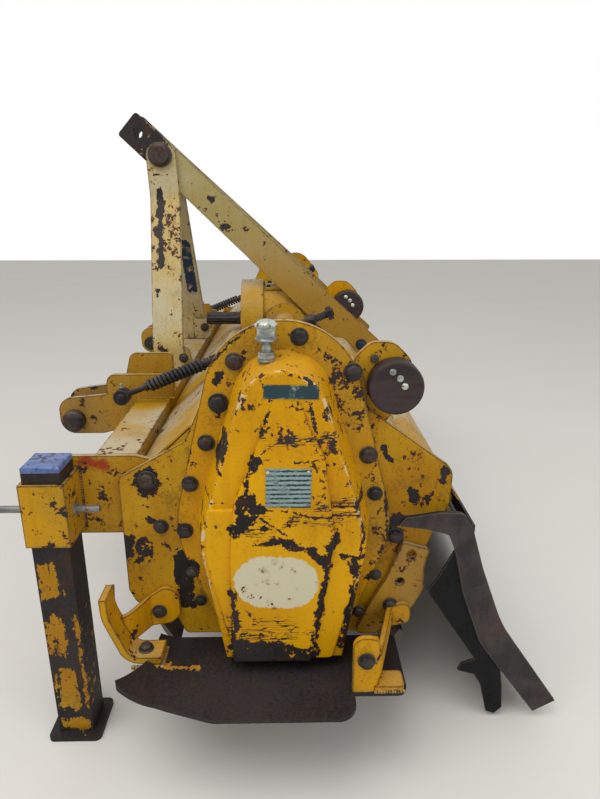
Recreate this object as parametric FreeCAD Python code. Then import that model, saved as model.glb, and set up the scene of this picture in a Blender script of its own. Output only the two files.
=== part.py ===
"""Rotary tiller for a tractor's three-point hitch, about 1.5 m of working width.

Millimetres. +X is the machine's right-hand side, +Y is forward, towards the tractor, and +Z is up.
X = 0 is the middle of the hitch, Y = 0 the rotor's axis, and Z = 0 the floor that the machine is
parked on: the two parking legs and the lowest blades stand on it.
"""
import FreeCAD, Part
import math
import os

V = FreeCAD.Vector
ACROSS = V(1, 0, 0)
AHEAD = V(0, 1, 0)
UP = V(0, 0, 1)
MIDDLE = V(0, 0, 0)

# Rotor
ROTOR_R = 250.0
ROTOR_TUBE_R = 44.5
ROTOR_TUBE_WALL = 8.0
ROTOR_GAP = 13.0
SHAFT_R = 25.0
FLANGE_COUNT = 7
FLANGE_END = 75.0
FLANGE_R = 98.0
FLANGE_T = 10.0
FLANGE_BLADES = 6
SPIRAL_STEP = 10.0
BLADE_T = 8.0
BLADE_WIDTH = 58.0
BLADE_REACH = 84.0
BLADE_BEND_R = 26.0
BLADE_ROOT_R = 56.0

# Side plates
SIDE_X = 786.0
SIDE_T = 10.0
HUB_R = 72.0
HUB_DEPTH = 28.0
HUB_FIT = 0.06
SIDE_BORE_R = 40.0

# Drive line
DRIVE_RISE = 33.0
AXLE_TUBE_R = 32.0
AXLE_TUBE_WALL = 6.0
GEARBOX_HALF = 96.0
GEARBOX_LIP = 8.0
GEARBOX_FRONT = 118.0
GEARBOX_BACK = -108.0
GEARBOX_HEIGHT = 120.0
GEARBOX_SUMP = 36.0
PTO_R = 17.5
PTO_TIP = 221.0
PTO_FIT = 0.06
PTO_BACK = 48.0
PTO_END_GAP = 2.0
PTO_SPLINES = 6
GUARD_GAP = 1.4
GUARD_DEPTH = 60.0

# Gear case on the left side
CASE_FLANGE_T = 14.0
CASE_TOP_R = 125.0
CASE_TOP_RISE = 15.0
CASE_WIDE_R = 178.0
CASE_WIDE_RISE = 150.0
CASE_FOOT_HALF = 108.0
CASE_FOOT_DROP = 68.0
COVER_INSET = 49.0
COVER_TOP_DROP = 10.0
COVER_DRAFT = 14.0
COVER_DEPTH = 74.0
COVER_SOFT = 7.0
STEP_RISE = 70.0
BELLY_HEIGHT = 6.0
PANEL_HEIGHT = 8.0
PANEL_FADE = 6.0
BREATHER_Y = 23.0
BREATHER_OUT = 30.0
BREATHER_R = 17.0
BREATHER_CAP = 28.0

# Hood
HOOD_T = 5.0
HOOD_CLEAR = 72.0

# Front beam
BEAM_SIZE = 70.0
BEAM_WALL = 8.0
BEAM_FRONT = 321.0
BEAM_DROP = 67.0

# Hitch
REACH = 498.0
HITCH_X = 390.0
HITCH_GAP = 58.0
HITCH_PLATE_T = 12.0
HITCH_PIN_R = 14.2
HITCH_LOBE_R = 33.0
HITCH_PIN_DROP = 48.0
MAST_PLATE_T = 12.0
MAST_GAP = 54.0
TOP_LINK_R = 12.9
TOP_LINK_Y = 370.0
MAST_HEIGHT = 626.0
MAST_BOLT_BACK = 77.2
MAST_BOLT_R = 10.0
MAST_HEAD_R = 30.0
UPRIGHT_FOOT_X = 200.0
UPRIGHT_BEND = 106.0
UPRIGHT_OVER = 31.0
UPRIGHT_WIDTH = 76.0
STAY_HEAD_WIDTH = 72.0
STAY_FOOT_WIDTH = 82.0
STAY_END = 34.0
STAY_CLEAR = 4.0
STAY_FOOT_Y = -205.0
STAY_FOOT_DROP = 20.0
STAY_BOLT_R = 8.0

# Spring rods
SPRING_ROD_R = 8.0
SPRING_R = 14.0
SPRING_LENGTH = 130.0
SPRING_START = 62.0
SPRING_EYE_Y = 347.0
SPRING_EYE_RISE = 63.0
SPRING_TAIL_Y = -105.0
SPRING_TAIL_RISE = 97.0
EYE_R = 17.0
EYE_WIDTH = 26.0

# Rear discs
DISC_MIDDLE_X = 18.0
DISC_Y = -178.0
DISC_RISE = 66.0
DISC_R = 43.0
DISC_DEPTH = 30.0
DISC_PLATE_T = 12.0

# Parking legs
LEG_Y = 376.0
LEG_SIZE = 60.0
LEG_WALL = 5.0
LEG_RISE = 59.0
LEG_FIT = 0.5
CAP_HEIGHT = 10.0
SLEEVE_WALL = 5.5
SLEEVE_DROP = 69.0
SLEEVE_HEIGHT = 109.0
LEG_PIN_R = 6.0
LEG_WASHER_R = 10.0
LEG_PIN_FRONT = 58.0
LEG_PIN_REAR = 40.0
ARM_T = 10.0
ARM_DROP = 84.0
ARM_HEIGHT = 143.0
FOOT_SIZE = 92.0
FOOT_T = 8.0

# Skids
SKID_DROP = 88.0
SKID_T = 8.0
SKID_REACH = 194.0
SKID_REAR = -112.0
SKID_TAIL = -197.0
SKID_BEND_Y = 236.0
SKID_NOSE = 60.0
SKID_NOSE_TURN = 57.0
LUG_T = 10.0
BOW_T = 12.0
BOW_WIDTH = 44.0
BRACKET_OUT = 134.0
BRACKET_REAR = -150.0

# Trailing board
HOOD_END_Y = -289.0
HOOD_END_DROP = 165.0
HINGE_ROD_R = 8.0
HINGE_FIT = 0.08
KNUCKLE_R = 14.0
KNUCKLE_LENGTH = 60.0
KNUCKLE_GAP = 2.0
KNUCKLE_END = 146.0
HINGE_CLEAR = 5.0
GUARD_T = 4.0
GUARD_LIFT = 25.0
BOARD_T = 4.0
BOARD_OVERHANG = 26.0
STRIP_T = 8.0


def box(x0, x1, y0, y1, z0, z1):
    return Part.makeBox(x1 - x0, y1 - y0, z1 - z0, V(x0, y0, z0))


def rod(start, along, radius, length):
    return Part.makeCylinder(radius, length, start, along)


def tube(start, along, radius, wall, length):
    return rod(start, along, radius, length).cut(rod(start, along, radius - wall, length))


def mirrored(shape):
    return shape.mirror(MIDDLE, ACROSS)


def moved(shape, x, y, z):
    copy = shape.copy()
    copy.translate(V(x, y, z))
    return copy


def rounded(corners):
    """A closed wire through corner rows (point, radius), each corner rounded by its radius."""
    edges = []
    count = len(corners)
    ends = []
    for i in range(count):
        here, radius = corners[i]
        before = corners[i - 1][0]
        after = corners[(i + 1) % count][0]
        a = (before - here).normalize()
        b = (after - here).normalize()
        if radius <= 0:
            ends.append((here, here, None))
            continue
        half = a.getAngle(b) / 2
        reach = radius / math.tan(half)
        middle = here + (a + b).normalize() * (radius / math.sin(half) - radius)
        ends.append((here + a * reach, here + b * reach, middle))
    for i in range(count):
        start, finish, middle = ends[i]
        if middle is not None:
            edges.append(Part.Arc(start, middle, finish).toShape())
        following = ends[(i + 1) % count][0]
        if (following - finish).Length > 0.001:
            edges.append(Part.LineSegment(finish, following).toShape())
    return Part.Wire(edges)


def side_slab(rows, x0, x1):
    """A plate between x0 and x1 whose outline in the side view has rows (y, z, corner radius)."""
    corners = [(V(x0, y, z), r) for y, z, r in rows]
    return Part.Face(rounded(corners)).extrude(V(x1 - x0, 0, 0))


def plan_slab(rows, z0, z1):
    """A plate between z0 and z1 whose outline in plan has rows (x, y, corner radius)."""
    corners = [(V(x, y, z0), r) for x, y, r in rows]
    return Part.Face(rounded(corners)).extrude(V(0, 0, z1 - z0))


def front_slab(rows, y0, y1):
    """A plate between y0 and y1 whose outline seen from the front has rows (x, z, corner radius)."""
    corners = [(V(x, y0, z), r) for x, z, r in rows]
    return Part.Face(rounded(corners)).extrude(V(0, y1 - y0, 0))


def band(points, thickness):
    """Rows (u, v, radius) of the outline of a bent strip that lies on the left of points.

    points holds rows (u, v, inner bend radius) along one face of the strip.
    """
    near = [(u, v) for u, v, r in points]
    far = []
    for i, (u, v) in enumerate(near):
        normals = []
        for j in (i - 1, i):
            if 0 <= j < len(near) - 1:
                du = near[j + 1][0] - near[j][0]
                dv = near[j + 1][1] - near[j][1]
                size = math.hypot(du, dv)
                normals.append((-dv / size, du / size))
        nu = sum(n[0] for n in normals) / len(normals)
        nv = sum(n[1] for n in normals) / len(normals)
        scale = thickness / (nu * nu + nv * nv)
        far.append((u + nu * scale, v + nv * scale))
    rows = []
    for i, (u, v, r) in enumerate(points):
        rows.append((u, v, r))
    for i in range(len(points) - 1, -1, -1):
        r = points[i][2]
        if r > 0:
            r = r - thickness * turn_side(near, i)
        rows.append((far[i][0], far[i][1], max(r, 0)))
    return rows


def turn_side(points, i):
    """1 where the path turns left at point i, -1 where it turns right, 0 at its ends."""
    if i == 0 or i == len(points) - 1:
        return 0
    au = points[i][0] - points[i - 1][0]
    av = points[i][1] - points[i - 1][1]
    bu = points[i + 1][0] - points[i][0]
    bv = points[i + 1][1] - points[i][1]
    return 1 if au * bv - av * bu > 0 else -1


ROTOR_Z = ROTOR_R
HOOD_TOP = ROTOR_Z + ROTOR_R + HOOD_CLEAR
DRIVE_Z = HOOD_TOP + DRIVE_RISE
GEARBOX_TOP = HOOD_TOP + GEARBOX_HEIGHT
GEARBOX_BOTTOM = HOOD_TOP - GEARBOX_SUMP
CASE_TOP_Z = DRIVE_Z + CASE_TOP_RISE
CASE_WIDE_Z = ROTOR_Z + CASE_WIDE_RISE
CASE_FOOT_Z = ROTOR_Z - CASE_FOOT_DROP
BEAM_TOP = HOOD_TOP - BEAM_DROP
HITCH_PIN_Z = BEAM_TOP - HITCH_PIN_DROP
STAY_FOOT_Z = HOOD_TOP - STAY_FOOT_DROP
HOOD_END_Z = HOOD_TOP - HOOD_END_DROP
DISC_Z = HOOD_TOP + DISC_RISE
LEG_TOP = HITCH_PIN_Z + LEG_RISE
SLEEVE_LOW = HITCH_PIN_Z - SLEEVE_DROP
ARM_LOW = HITCH_PIN_Z - ARM_DROP
SKID_Z = ROTOR_Z - SKID_DROP
SIDE_INNER = SIDE_X - SIDE_T
ROTOR_HALF = SIDE_INNER - HUB_DEPTH - ROTOR_GAP
FLANGE_PITCH = 2 * (ROTOR_HALF - FLANGE_END) / (FLANGE_COUNT - 1)
HITCH_PIN_Y = REACH - HITCH_LOBE_R
CASE_FACE = SIDE_X + CASE_FLANGE_T
COVER_FACE = CASE_FACE + COVER_DEPTH
BEAM_REAR = BEAM_FRONT - BEAM_SIZE
BEAM_LOW = BEAM_TOP - BEAM_SIZE
GEARBOX_SHOULDER = 0.7 * (GEARBOX_HALF - GEARBOX_LIP)
GUARD_R = math.hypot(GEARBOX_SHOULDER, GEARBOX_TOP - DRIVE_Z) + GUARD_GAP
STAY_FOOT_X = GEARBOX_HALF + STAY_CLEAR
SLEEVE_SIZE = LEG_SIZE + 2 * (LEG_FIT + SLEEVE_WALL)
LEG_X = SIDE_INNER + SLEEVE_SIZE / 2
BOARD_HALF = SIDE_X + BOARD_OVERHANG
KNUCKLE_PLACES = (KNUCKLE_END - SIDE_X, 0, SIDE_X - KNUCKLE_END)
BRACKET_X = SIDE_X + BRACKET_OUT
SKID_IN = SIDE_X + LUG_T
SKID_OUT = SIDE_X + SKID_REACH
SKID_TOP = SKID_Z + SKID_T
SKID_WIDTH = SKID_OUT - SKID_IN
SPRING_X = HITCH_X + HITCH_GAP / 2 + HITCH_PLATE_T + EYE_R - 1
SPRING_FRONT = V(SPRING_X, SPRING_EYE_Y, HITCH_PIN_Z + SPRING_EYE_RISE)
SPRING_REAR = V(SPRING_X, SPRING_TAIL_Y, DRIVE_Z + SPRING_TAIL_RISE)
TOP_LINK = V(0, TOP_LINK_Y, HITCH_PIN_Z + MAST_HEIGHT)
STAY_FOOT = V(0, STAY_FOOT_Y, STAY_FOOT_Z)
STAY_RUN = (TOP_LINK - STAY_FOOT).normalize()
MAST_BOLT = TOP_LINK - STAY_RUN * MAST_BOLT_BACK
UPRIGHT_TOP = MAST_BOLT.z + UPRIGHT_OVER
UPRIGHT_BEND_Z = MAST_BOLT.z - UPRIGHT_BEND


def case_outline(x, inset, top_drop, foot_half, foot_z):
    """The gear case's outline in the plane x: a small arch over a wide one, tapering to a flat foot.

    inset draws it in all round, and top_drop the small arch once more.
    """
    top_r = CASE_TOP_R - inset - top_drop
    wide_r = CASE_WIDE_R - inset
    rise = CASE_TOP_Z - CASE_WIDE_Z
    lean = math.asin((wide_r - top_r) / rise)
    drop = math.atan2(wide_r - foot_half, CASE_WIDE_Z - foot_z) * 1.35

    def at(z, r, angle, side):
        return V(x, side * r * math.cos(angle), z + r * math.sin(angle))

    shoulder = at(CASE_TOP_Z, top_r, lean, 1)
    waist = at(CASE_WIDE_Z, wide_r, lean, 1)
    hip = at(CASE_WIDE_Z, wide_r, -drop, 1)
    toe = V(x, foot_half, foot_z)

    def other(p):
        return V(p.x, -p.y, p.z)

    return Part.Wire([
        Part.Arc(other(shoulder), V(x, 0, CASE_TOP_Z + top_r), shoulder).toShape(),
        Part.LineSegment(shoulder, waist).toShape(),
        Part.Arc(waist, at(CASE_WIDE_Z, wide_r, (lean - drop) / 2, 1), hip).toShape(),
        Part.LineSegment(hip, toe).toShape(),
        Part.LineSegment(toe, other(toe)).toShape(),
        Part.LineSegment(other(toe), other(hip)).toShape(),
        Part.Arc(other(hip), at(CASE_WIDE_Z, wide_r, (lean - drop) / 2, -1), other(waist)).toShape(),
        Part.LineSegment(other(waist), other(shoulder)).toShape(),
    ])


def side_plate():
    """Right side plate: it follows the hood in front and carries the rotor, hood and beam."""
    low = CASE_FOOT_Z - 10
    front = BEAM_REAR + 23
    top = HOOD_TOP
    rows = [
        (-190, low, 30), (178, low, 10), (196, low + 44, 16), (front - 12, low + 66, 16),
        (front, low + 92, 14), (front, BEAM_TOP - 25, 14), (160, top - 27, 20), (95, top + 118, 40),
        (-60, top + 166, 60), (-130, top + 78, 30), (-136, top + 28, 20), (-176, top - 2, 30),
        (-283, top - 80, 30), (-281, top - 142, 20), (-262, top - 187, 20), (-228, ROTOR_Z + 50, 40),
    ]
    plate = side_slab(rows, SIDE_INNER, SIDE_X)
    bore = rod(V(SIDE_INNER - 1, 0, ROTOR_Z), ACROSS, SIDE_BORE_R, SIDE_T + 2)
    return plate.cut(bore)


def bearing_hub():
    """Ring on the right side plate's inner face that the rotor's stub shaft runs in."""
    start = V(SIDE_INNER - HUB_DEPTH, 0, ROTOR_Z)
    ring = rod(start, ACROSS, HUB_R, HUB_DEPTH)
    return ring.cut(rod(start, ACROSS, SHAFT_R + HUB_FIT, HUB_DEPTH))


def bearing_cap():
    """Closed cap on the right side plate's outer face, over the end of the rotor's shaft."""
    flange = rod(V(SIDE_X, 0, ROTOR_Z), ACROSS, HUB_R, 8)
    boss = Part.makeCone(50, 42, 26, V(SIDE_X + 8, 0, ROTOR_Z), ACROSS)
    return flange.fuse(boss)


def case_flange():
    """Flat flange of the gear case, on the left side plate's outer face."""
    outline = case_outline(-CASE_FACE, 0, 0, CASE_FOOT_HALF, CASE_FOOT_Z)
    return Part.Face(outline).extrude(V(CASE_FLANGE_T, 0, 0))


def soft_slab(rows, x0, x1, radius):
    """A slab of the cover's face between x0 and x1, its edges round x0 softened by radius."""
    slab = side_slab(rows, x0, x1)
    return slab.makeFillet(radius, [e for e in slab.Edges if abs(e.CenterOfMass.x - x0) < 0.01])


def case_cover():
    """Deep dished cover of the gear case: its lower part is proud, and so is its middle panel."""
    foot = CASE_FOOT_HALF - 6
    inset = COVER_INSET - COVER_DRAFT
    base = case_outline(-CASE_FACE, inset, COVER_TOP_DROP, foot, CASE_FOOT_Z + 2)
    face = case_outline(-COVER_FACE, COVER_INSET, COVER_TOP_DROP, foot - 6, CASE_FOOT_Z + 8)
    body = Part.makeLoft([base, face], True, True)
    rim = [e for e in body.Edges if abs(e.CenterOfMass.x + COVER_FACE) < 0.01]
    body = body.makeFillet(COVER_SOFT, rim)
    low = CASE_FOOT_Z + 11
    wide = CASE_WIDE_R - COVER_INSET - COVER_SOFT
    hip = CASE_WIDE_Z - 22
    step = CASE_WIDE_Z + STEP_RISE
    top = CASE_TOP_Z + 22
    waist = (step + top) / 2
    belly = soft_slab([
        (foot - 22, low, 10), (wide, hip, 120), (wide - 4, step, 8), (4 - wide, step, 8),
        (-wide, hip, 120), (22 - foot, low, 10),
    ], -COVER_FACE - BELLY_HEIGHT, -COVER_FACE, BELLY_HEIGHT - 2)
    panel = soft_slab([
        (14, top, 12), (44, waist, 60), (76, step + 8, 30), (84, hip, 60), (84, low, 6),
        (-44, low, 6), (-58, (low + hip) / 2, 40), (-80, hip + 42, 60), (-62, waist, 40),
        (-40, (waist + top) / 2, 30), (-26, top, 12),
    ], -COVER_FACE - BELLY_HEIGHT - PANEL_HEIGHT, -COVER_FACE, PANEL_HEIGHT - 3)
    fade = box(-COVER_FACE, COVER_DEPTH - COVER_FACE, -wide, wide, low, top + COVER_DEPTH)
    fade.rotate(V(-COVER_FACE, 0, top), AHEAD, PANEL_FADE)
    return body.fuse(belly).fuse(panel.common(fade)).removeSplitter()


def breather():
    """Oil filler and breather: a stem and a flanged cap that stand on top of the gear case."""
    y = BREATHER_Y
    x = -CASE_FACE - BREATHER_OUT
    top = CASE_TOP_Z + CASE_TOP_R + 8
    foot = top - 90
    stem = rod(V(x, y, foot), UP, 10, top - foot)
    collar = rod(V(x, y, top - 58), UP, BREATHER_R - 5, 12)
    cap = rod(V(x, y, top - BREATHER_CAP), UP, BREATHER_R, BREATHER_CAP)
    return stem.fuse(collar).fuse(cap).cut(case_cover())


def axle_tube():
    start = V(GEARBOX_HALF, 0, DRIVE_Z)
    return tube(start, ACROSS, AXLE_TUBE_R, AXLE_TUBE_WALL, SIDE_INNER - GEARBOX_HALF)


def front_beam():
    outer = box(-SIDE_INNER + ARM_T, SIDE_INNER - ARM_T, BEAM_REAR, BEAM_FRONT, BEAM_LOW, BEAM_TOP)
    w = BEAM_WALL
    inner = box(-SIDE_INNER, SIDE_INNER, BEAM_REAR + w, BEAM_FRONT - w, BEAM_LOW + w, BEAM_TOP - w)
    return outer.cut(inner)


HOOD_REAR_BEND = V(0, -160, HOOD_TOP)
HOOD_END = V(0, HOOD_END_Y, HOOD_END_Z)
HOOD_LINE = [
    (BEAM_REAR, BEAM_LOW + 5, 0), (BEAM_REAR, BEAM_LOW + 43, 12), (150, HOOD_TOP, 30),
    (HOOD_REAR_BEND.y, HOOD_TOP, 40),
    (HOOD_END.y, HOOD_END.z, 0),
]
HOOD_FALL = (HOOD_END - HOOD_REAR_BEND).normalize()
HOOD_FACING = V(0, HOOD_FALL.z, -HOOD_FALL.y)
HINGE = HOOD_END + HOOD_FALL * (KNUCKLE_R + KNUCKLE_GAP) - HOOD_FACING * (HOOD_T / 2)


def hinge_guard():
    """Strip that stands off the hood's rear slope and covers the trailing board's hinge."""
    rows = []
    for fall, lift, r in ((103, 0, 0), (123, GUARD_LIFT, 20), (198, GUARD_LIFT, 0)):
        p = HOOD_REAR_BEND + HOOD_FALL * fall + HOOD_FACING * lift
        rows.append((p.y, p.z, r))
    return side_slab(band(rows, GUARD_T), -SIDE_INNER, SIDE_INNER)


def hood():
    """Bent sheet over the rotor, from the front beam back to the trailing board's hinge."""
    sheet = side_slab(band(HOOD_LINE, HOOD_T), -SIDE_INNER, SIDE_INNER).fuse(hinge_guard())
    opening = box(-86, 86, -76, 88, HOOD_TOP - 40, HOOD_TOP + 40)
    sheet = sheet.cut(opening).cut(leg_arm()).cut(mirrored(leg_arm()))
    inner = HOOD_END - HOOD_FACING * HOOD_T
    down = HINGE - HOOD_END
    foot = [HOOD_END - down, HOOD_END + down, inner + down, inner - down]
    for x in KNUCKLE_PLACES:
        start = x - KNUCKLE_LENGTH - KNUCKLE_GAP / 2
        tab = side_slab([(p.y, p.z, 0) for p in foot], start, start + KNUCKLE_LENGTH)
        bore = rod(V(start - 1, HINGE.y, HINGE.z), ACROSS, HINGE_ROD_R, KNUCKLE_LENGTH + 2)
        sheet = sheet.fuse(tab.fuse(knuckle(start, HINGE_ROD_R)).cut(bore))
    return sheet.removeSplitter()


def above_hood(shape):
    """The shape without what lies under the hood's outer face."""
    rows = [(BEAM_REAR, ROTOR_Z, 0)] + HOOD_LINE[1:] + [(HOOD_END.y, ROTOR_Z, 0)]
    return shape.cut(side_slab(rows, -SIDE_INNER, SIDE_INNER))


def knuckle(x, bore):
    """One hinge knuckle that starts at x, with the bore's radius for the hinge rod."""
    return tube(V(x, HINGE.y, HINGE.z), ACROSS, KNUCKLE_R, KNUCKLE_R - bore, KNUCKLE_LENGTH)


def hinge_rod():
    """Rod through all knuckles of the trailing board's hinge."""
    half = SIDE_INNER - 16
    return rod(V(-half, HINGE.y, HINGE.z), ACROSS, HINGE_ROD_R, 2 * half)


def gearbox():
    """Cast bevel gearbox: domed housing on a flange that is seated on the hood."""
    back = GEARBOX_BACK + 14
    front = GEARBOX_FRONT - 30
    half = GEARBOX_HALF - GEARBOX_LIP
    deck = HOOD_TOP + 14
    flange = box(-GEARBOX_HALF, GEARBOX_HALF, GEARBOX_BACK, GEARBOX_FRONT - 12, HOOD_TOP, deck)
    rows = [
        (-half, deck, 0), (half, deck, 0), (half, GEARBOX_TOP - 52, 30),
        (GEARBOX_SHOULDER, GEARBOX_TOP, 40), (-GEARBOX_SHOULDER, GEARBOX_TOP, 40),
        (-half, GEARBOX_TOP - 52, 30),
    ]
    housing = front_slab(rows, back, front)
    sump = box(-84, 84, -74, 86, GEARBOX_BOTTOM, HOOD_TOP)
    nose = rod(V(0, front, DRIVE_Z), AHEAD, 58, 30)
    bosses = rod(V(-GEARBOX_HALF, 0, DRIVE_Z), ACROSS, 56, 2 * GEARBOX_HALF)
    above = box(-2 * half, 2 * half, -2 * half, 2 * half, HOOD_TOP, GEARBOX_TOP)
    body = flange.fuse(housing).fuse(nose.fuse(bosses).common(above)).fuse(sump)
    bore = rod(V(0, PTO_BACK, DRIVE_Z), AHEAD, PTO_R + PTO_FIT, GEARBOX_FRONT)
    return body.cut(bore).removeSplitter()


def pto_shaft():
    """Splined input stub: six splines outside, plain where it runs in the gearbox."""
    start = PTO_BACK + PTO_END_GAP
    shaft = rod(V(0, start, DRIVE_Z), AHEAD, PTO_R, PTO_TIP - start)
    for i in range(PTO_SPLINES):
        slot = box(-4, 4, GEARBOX_FRONT + 14, PTO_TIP + 1, PTO_R - 3, PTO_R + 5)
        slot.rotate(MIDDLE, AHEAD, 360 * i / PTO_SPLINES)
        shaft = shaft.cut(moved(slot, 0, 0, DRIVE_Z))
    return shaft


def guard():
    """Arched guard over the input stub, on the gearbox's front."""
    start = V(0, GEARBOX_FRONT - GUARD_DEPTH, DRIVE_Z)
    r = GUARD_R
    arch = tube(start, AHEAD, r, GUARD_T, GUARD_DEPTH)
    arch = arch.common(box(-r, r, start.y, GEARBOX_FRONT, DRIVE_Z, DRIVE_Z + r))
    ears = box(-r, GUARD_T - r, start.y, GEARBOX_FRONT, HOOD_TOP, DRIVE_Z)
    return arch.fuse(ears).fuse(mirrored(ears)).removeSplitter()


def upright():
    """Right leg of the A-frame: a flat bar, parallel at its head and splayed down to its foot."""
    head = MAST_GAP / 2 + MAST_PLATE_T
    foot = UPRIGHT_FOOT_X
    line = [
        (foot, BEAM_TOP, 0), (foot, BEAM_TOP + 70, 60), (head, UPRIGHT_BEND_Z, 60),
        (head, UPRIGHT_TOP, 0),
    ]
    half = UPRIGHT_WIDTH / 2
    low = BEAM_REAR + half + 2
    bent = front_slab(band(line, -MAST_PLATE_T), low - UPRIGHT_WIDTH, MAST_BOLT.y + UPRIGHT_WIDTH)
    outline = side_slab([
        (low - half, BEAM_TOP, 0), (low + half, BEAM_TOP, 0), (MAST_BOLT.y + half, UPRIGHT_TOP, 34),
        (MAST_BOLT.y - half, UPRIGHT_TOP, 34),
    ], 0, foot + 2 * MAST_PLATE_T)
    lug = side_slab([
        (BEAM_REAR - 16, BEAM_TOP + 14, 10), (BEAM_REAR, BEAM_TOP, 0), (low, BEAM_TOP, 0),
        (low, BEAM_TOP + 68, 6), (BEAM_REAR - 6, BEAM_TOP + 62, 16),
    ], foot - MAST_PLATE_T, foot)
    bolt = rod(MAST_BOLT, ACROSS, MAST_BOLT_R, foot)
    return bent.common(outline).cut(bolt).fuse(lug).removeSplitter()


def stay():
    """Right rear stay of the A-frame, from the top-link hole back down to its foot on the hood."""
    head = MAST_GAP / 2
    foot = STAY_FOOT_X
    bend = MAST_BOLT.y - UPRIGHT_WIDTH / 2 - 20
    line = [(head, TOP_LINK_Y + 50, 0), (head, bend, 80), (foot, -110, 80), (foot, STAY_FOOT_Y - 55, 0)]
    bent = plan_slab(band(line, MAST_PLATE_T), STAY_FOOT_Z - 60, TOP_LINK.z + 60)
    side = V(0, -STAY_RUN.z, STAY_RUN.y)
    high = TOP_LINK + STAY_RUN * STAY_END
    low = STAY_FOOT - STAY_RUN * STAY_END
    rows = []
    for p, half in ((low, -STAY_FOOT_WIDTH / 2), (high, -STAY_HEAD_WIDTH / 2),
                    (high, STAY_HEAD_WIDTH / 2), (low, STAY_FOOT_WIDTH / 2)):
        p = p + side * half
        rows.append((p.y, p.z, 8))
    bar = bent.common(side_slab(rows, 0, 2 * foot))
    for centre, r in ((TOP_LINK, TOP_LINK_R), (MAST_BOLT, MAST_BOLT_R), (STAY_FOOT, STAY_BOLT_R)):
        bar = bar.cut(rod(centre, ACROSS, r, 2 * foot))
    return above_hood(bar)


def stay_foot():
    """Lug on the hood's rear bend that the right stay is bolted to, on the stay's inner face."""
    outer = STAY_FOOT_X
    y = STAY_FOOT_Y
    z = STAY_FOOT_Z
    rows = [
        (y - 10, z - 58, 0), (y + 85, z + 8, 0), (y + 85, HOOD_TOP, 0), (y + 55, z + 58, 30),
        (y, z + 48, 24), (y - 34, z - 28, 10),
    ]
    lug = above_hood(side_slab(rows, outer - 10, outer))
    return lug.cut(rod(STAY_FOOT, ACROSS, STAY_BOLT_R, 2 * outer))


def mast_bolt():
    """Bolt through both uprights and both stays, with a large round head on the left."""
    half = MAST_GAP / 2 + 2 * MAST_PLATE_T
    shank = rod(MAST_BOLT - ACROSS * half, ACROSS, MAST_BOLT_R, 2 * half)
    head = rod(MAST_BOLT - ACROSS * (half + 10), ACROSS, MAST_HEAD_R, 10)
    tip = MAST_BOLT - ACROSS * (half + 18)
    crown = Part.makeCone(MAST_HEAD_R - 9, MAST_HEAD_R - 2, 8, tip, ACROSS)
    nut = rod(MAST_BOLT + ACROSS * half, ACROSS, 17, 16)
    return shank.fuse(head).fuse(crown).fuse(nut).removeSplitter()


def hitch_plates():
    """Right pair of lower hitch plates on the front beam; the outer one is stepped, the inner taller."""
    low = BEAM_TOP
    gap_in = HITCH_X - HITCH_GAP / 2
    gap_out = HITCH_X + HITCH_GAP / 2
    lobe = HITCH_LOBE_R
    nose = HITCH_PIN_Z - lobe
    brow = HITCH_PIN_Z + lobe + 14
    outer_rows = [
        (BEAM_REAR - 8, low, 0), (BEAM_FRONT, low, 0), (BEAM_FRONT, BEAM_LOW + 10, 0),
        (HITCH_PIN_Y - 60, nose, 20), (REACH, nose, lobe), (REACH, brow, 30),
        (390, low + 9, 4), (387, low + 54, 18), (BEAM_REAR - 8, low + 54, 10),
    ]
    inner_rows = [
        (BEAM_REAR + 4, low, 0), (BEAM_FRONT, low, 0), (BEAM_FRONT, BEAM_LOW + 10, 0),
        (HITCH_PIN_Y - 60, nose, 20), (REACH, nose, lobe), (REACH, brow, 30),
        (368, low + 17, 10), (350, low + 85, 16), (BEAM_REAR + 4, low + 85, 10),
    ]
    plates = []
    for rows, x in ((outer_rows, gap_out), (inner_rows, gap_in - HITCH_PLATE_T)):
        plate = side_slab(rows, x, x + HITCH_PLATE_T)
        hole = rod(V(x - 1, HITCH_PIN_Y, HITCH_PIN_Z), ACROSS, HITCH_PIN_R, HITCH_PLATE_T + 2)
        plates.append(plate.cut(hole))
    return Part.makeCompound(plates)


def hitch_pin():
    """Right lower hitch pin through both plates, with a thick head outside and a collar inside."""
    half = HITCH_GAP / 2 + HITCH_PLATE_T
    shank = rod(V(HITCH_X - half - 18, HITCH_PIN_Y, HITCH_PIN_Z), ACROSS, HITCH_PIN_R, 2 * half + 18)
    head = rod(V(HITCH_X + half, HITCH_PIN_Y, HITCH_PIN_Z), ACROSS, 24, 16)
    collar = tube(V(HITCH_X - half - 14, HITCH_PIN_Y, HITCH_PIN_Z), ACROSS, 22, 22 - HITCH_PIN_R, 14)
    return shank.fuse(head).fuse(collar).removeSplitter()


def spring_rod():
    """Right spring rod: eye on the outer hitch plate, coil spring, and a swivel on the axle tube."""
    run = SPRING_REAR - SPRING_FRONT
    length = run.Length
    eye = rod(SPRING_FRONT - V(EYE_R - 1, 0, 0), ACROSS, EYE_R, EYE_WIDTH)
    bar = rod(SPRING_FRONT, run.normalize(), SPRING_ROD_R, length)
    return eye.fuse(bar).removeSplitter()


def spring_coil():
    """Closed-up coil spring round the right spring rod."""
    run = (SPRING_REAR - SPRING_FRONT).normalize()
    start = SPRING_FRONT + run * SPRING_START
    return tube(start, run, SPRING_R, SPRING_R - SPRING_ROD_R, SPRING_LENGTH)


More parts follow.
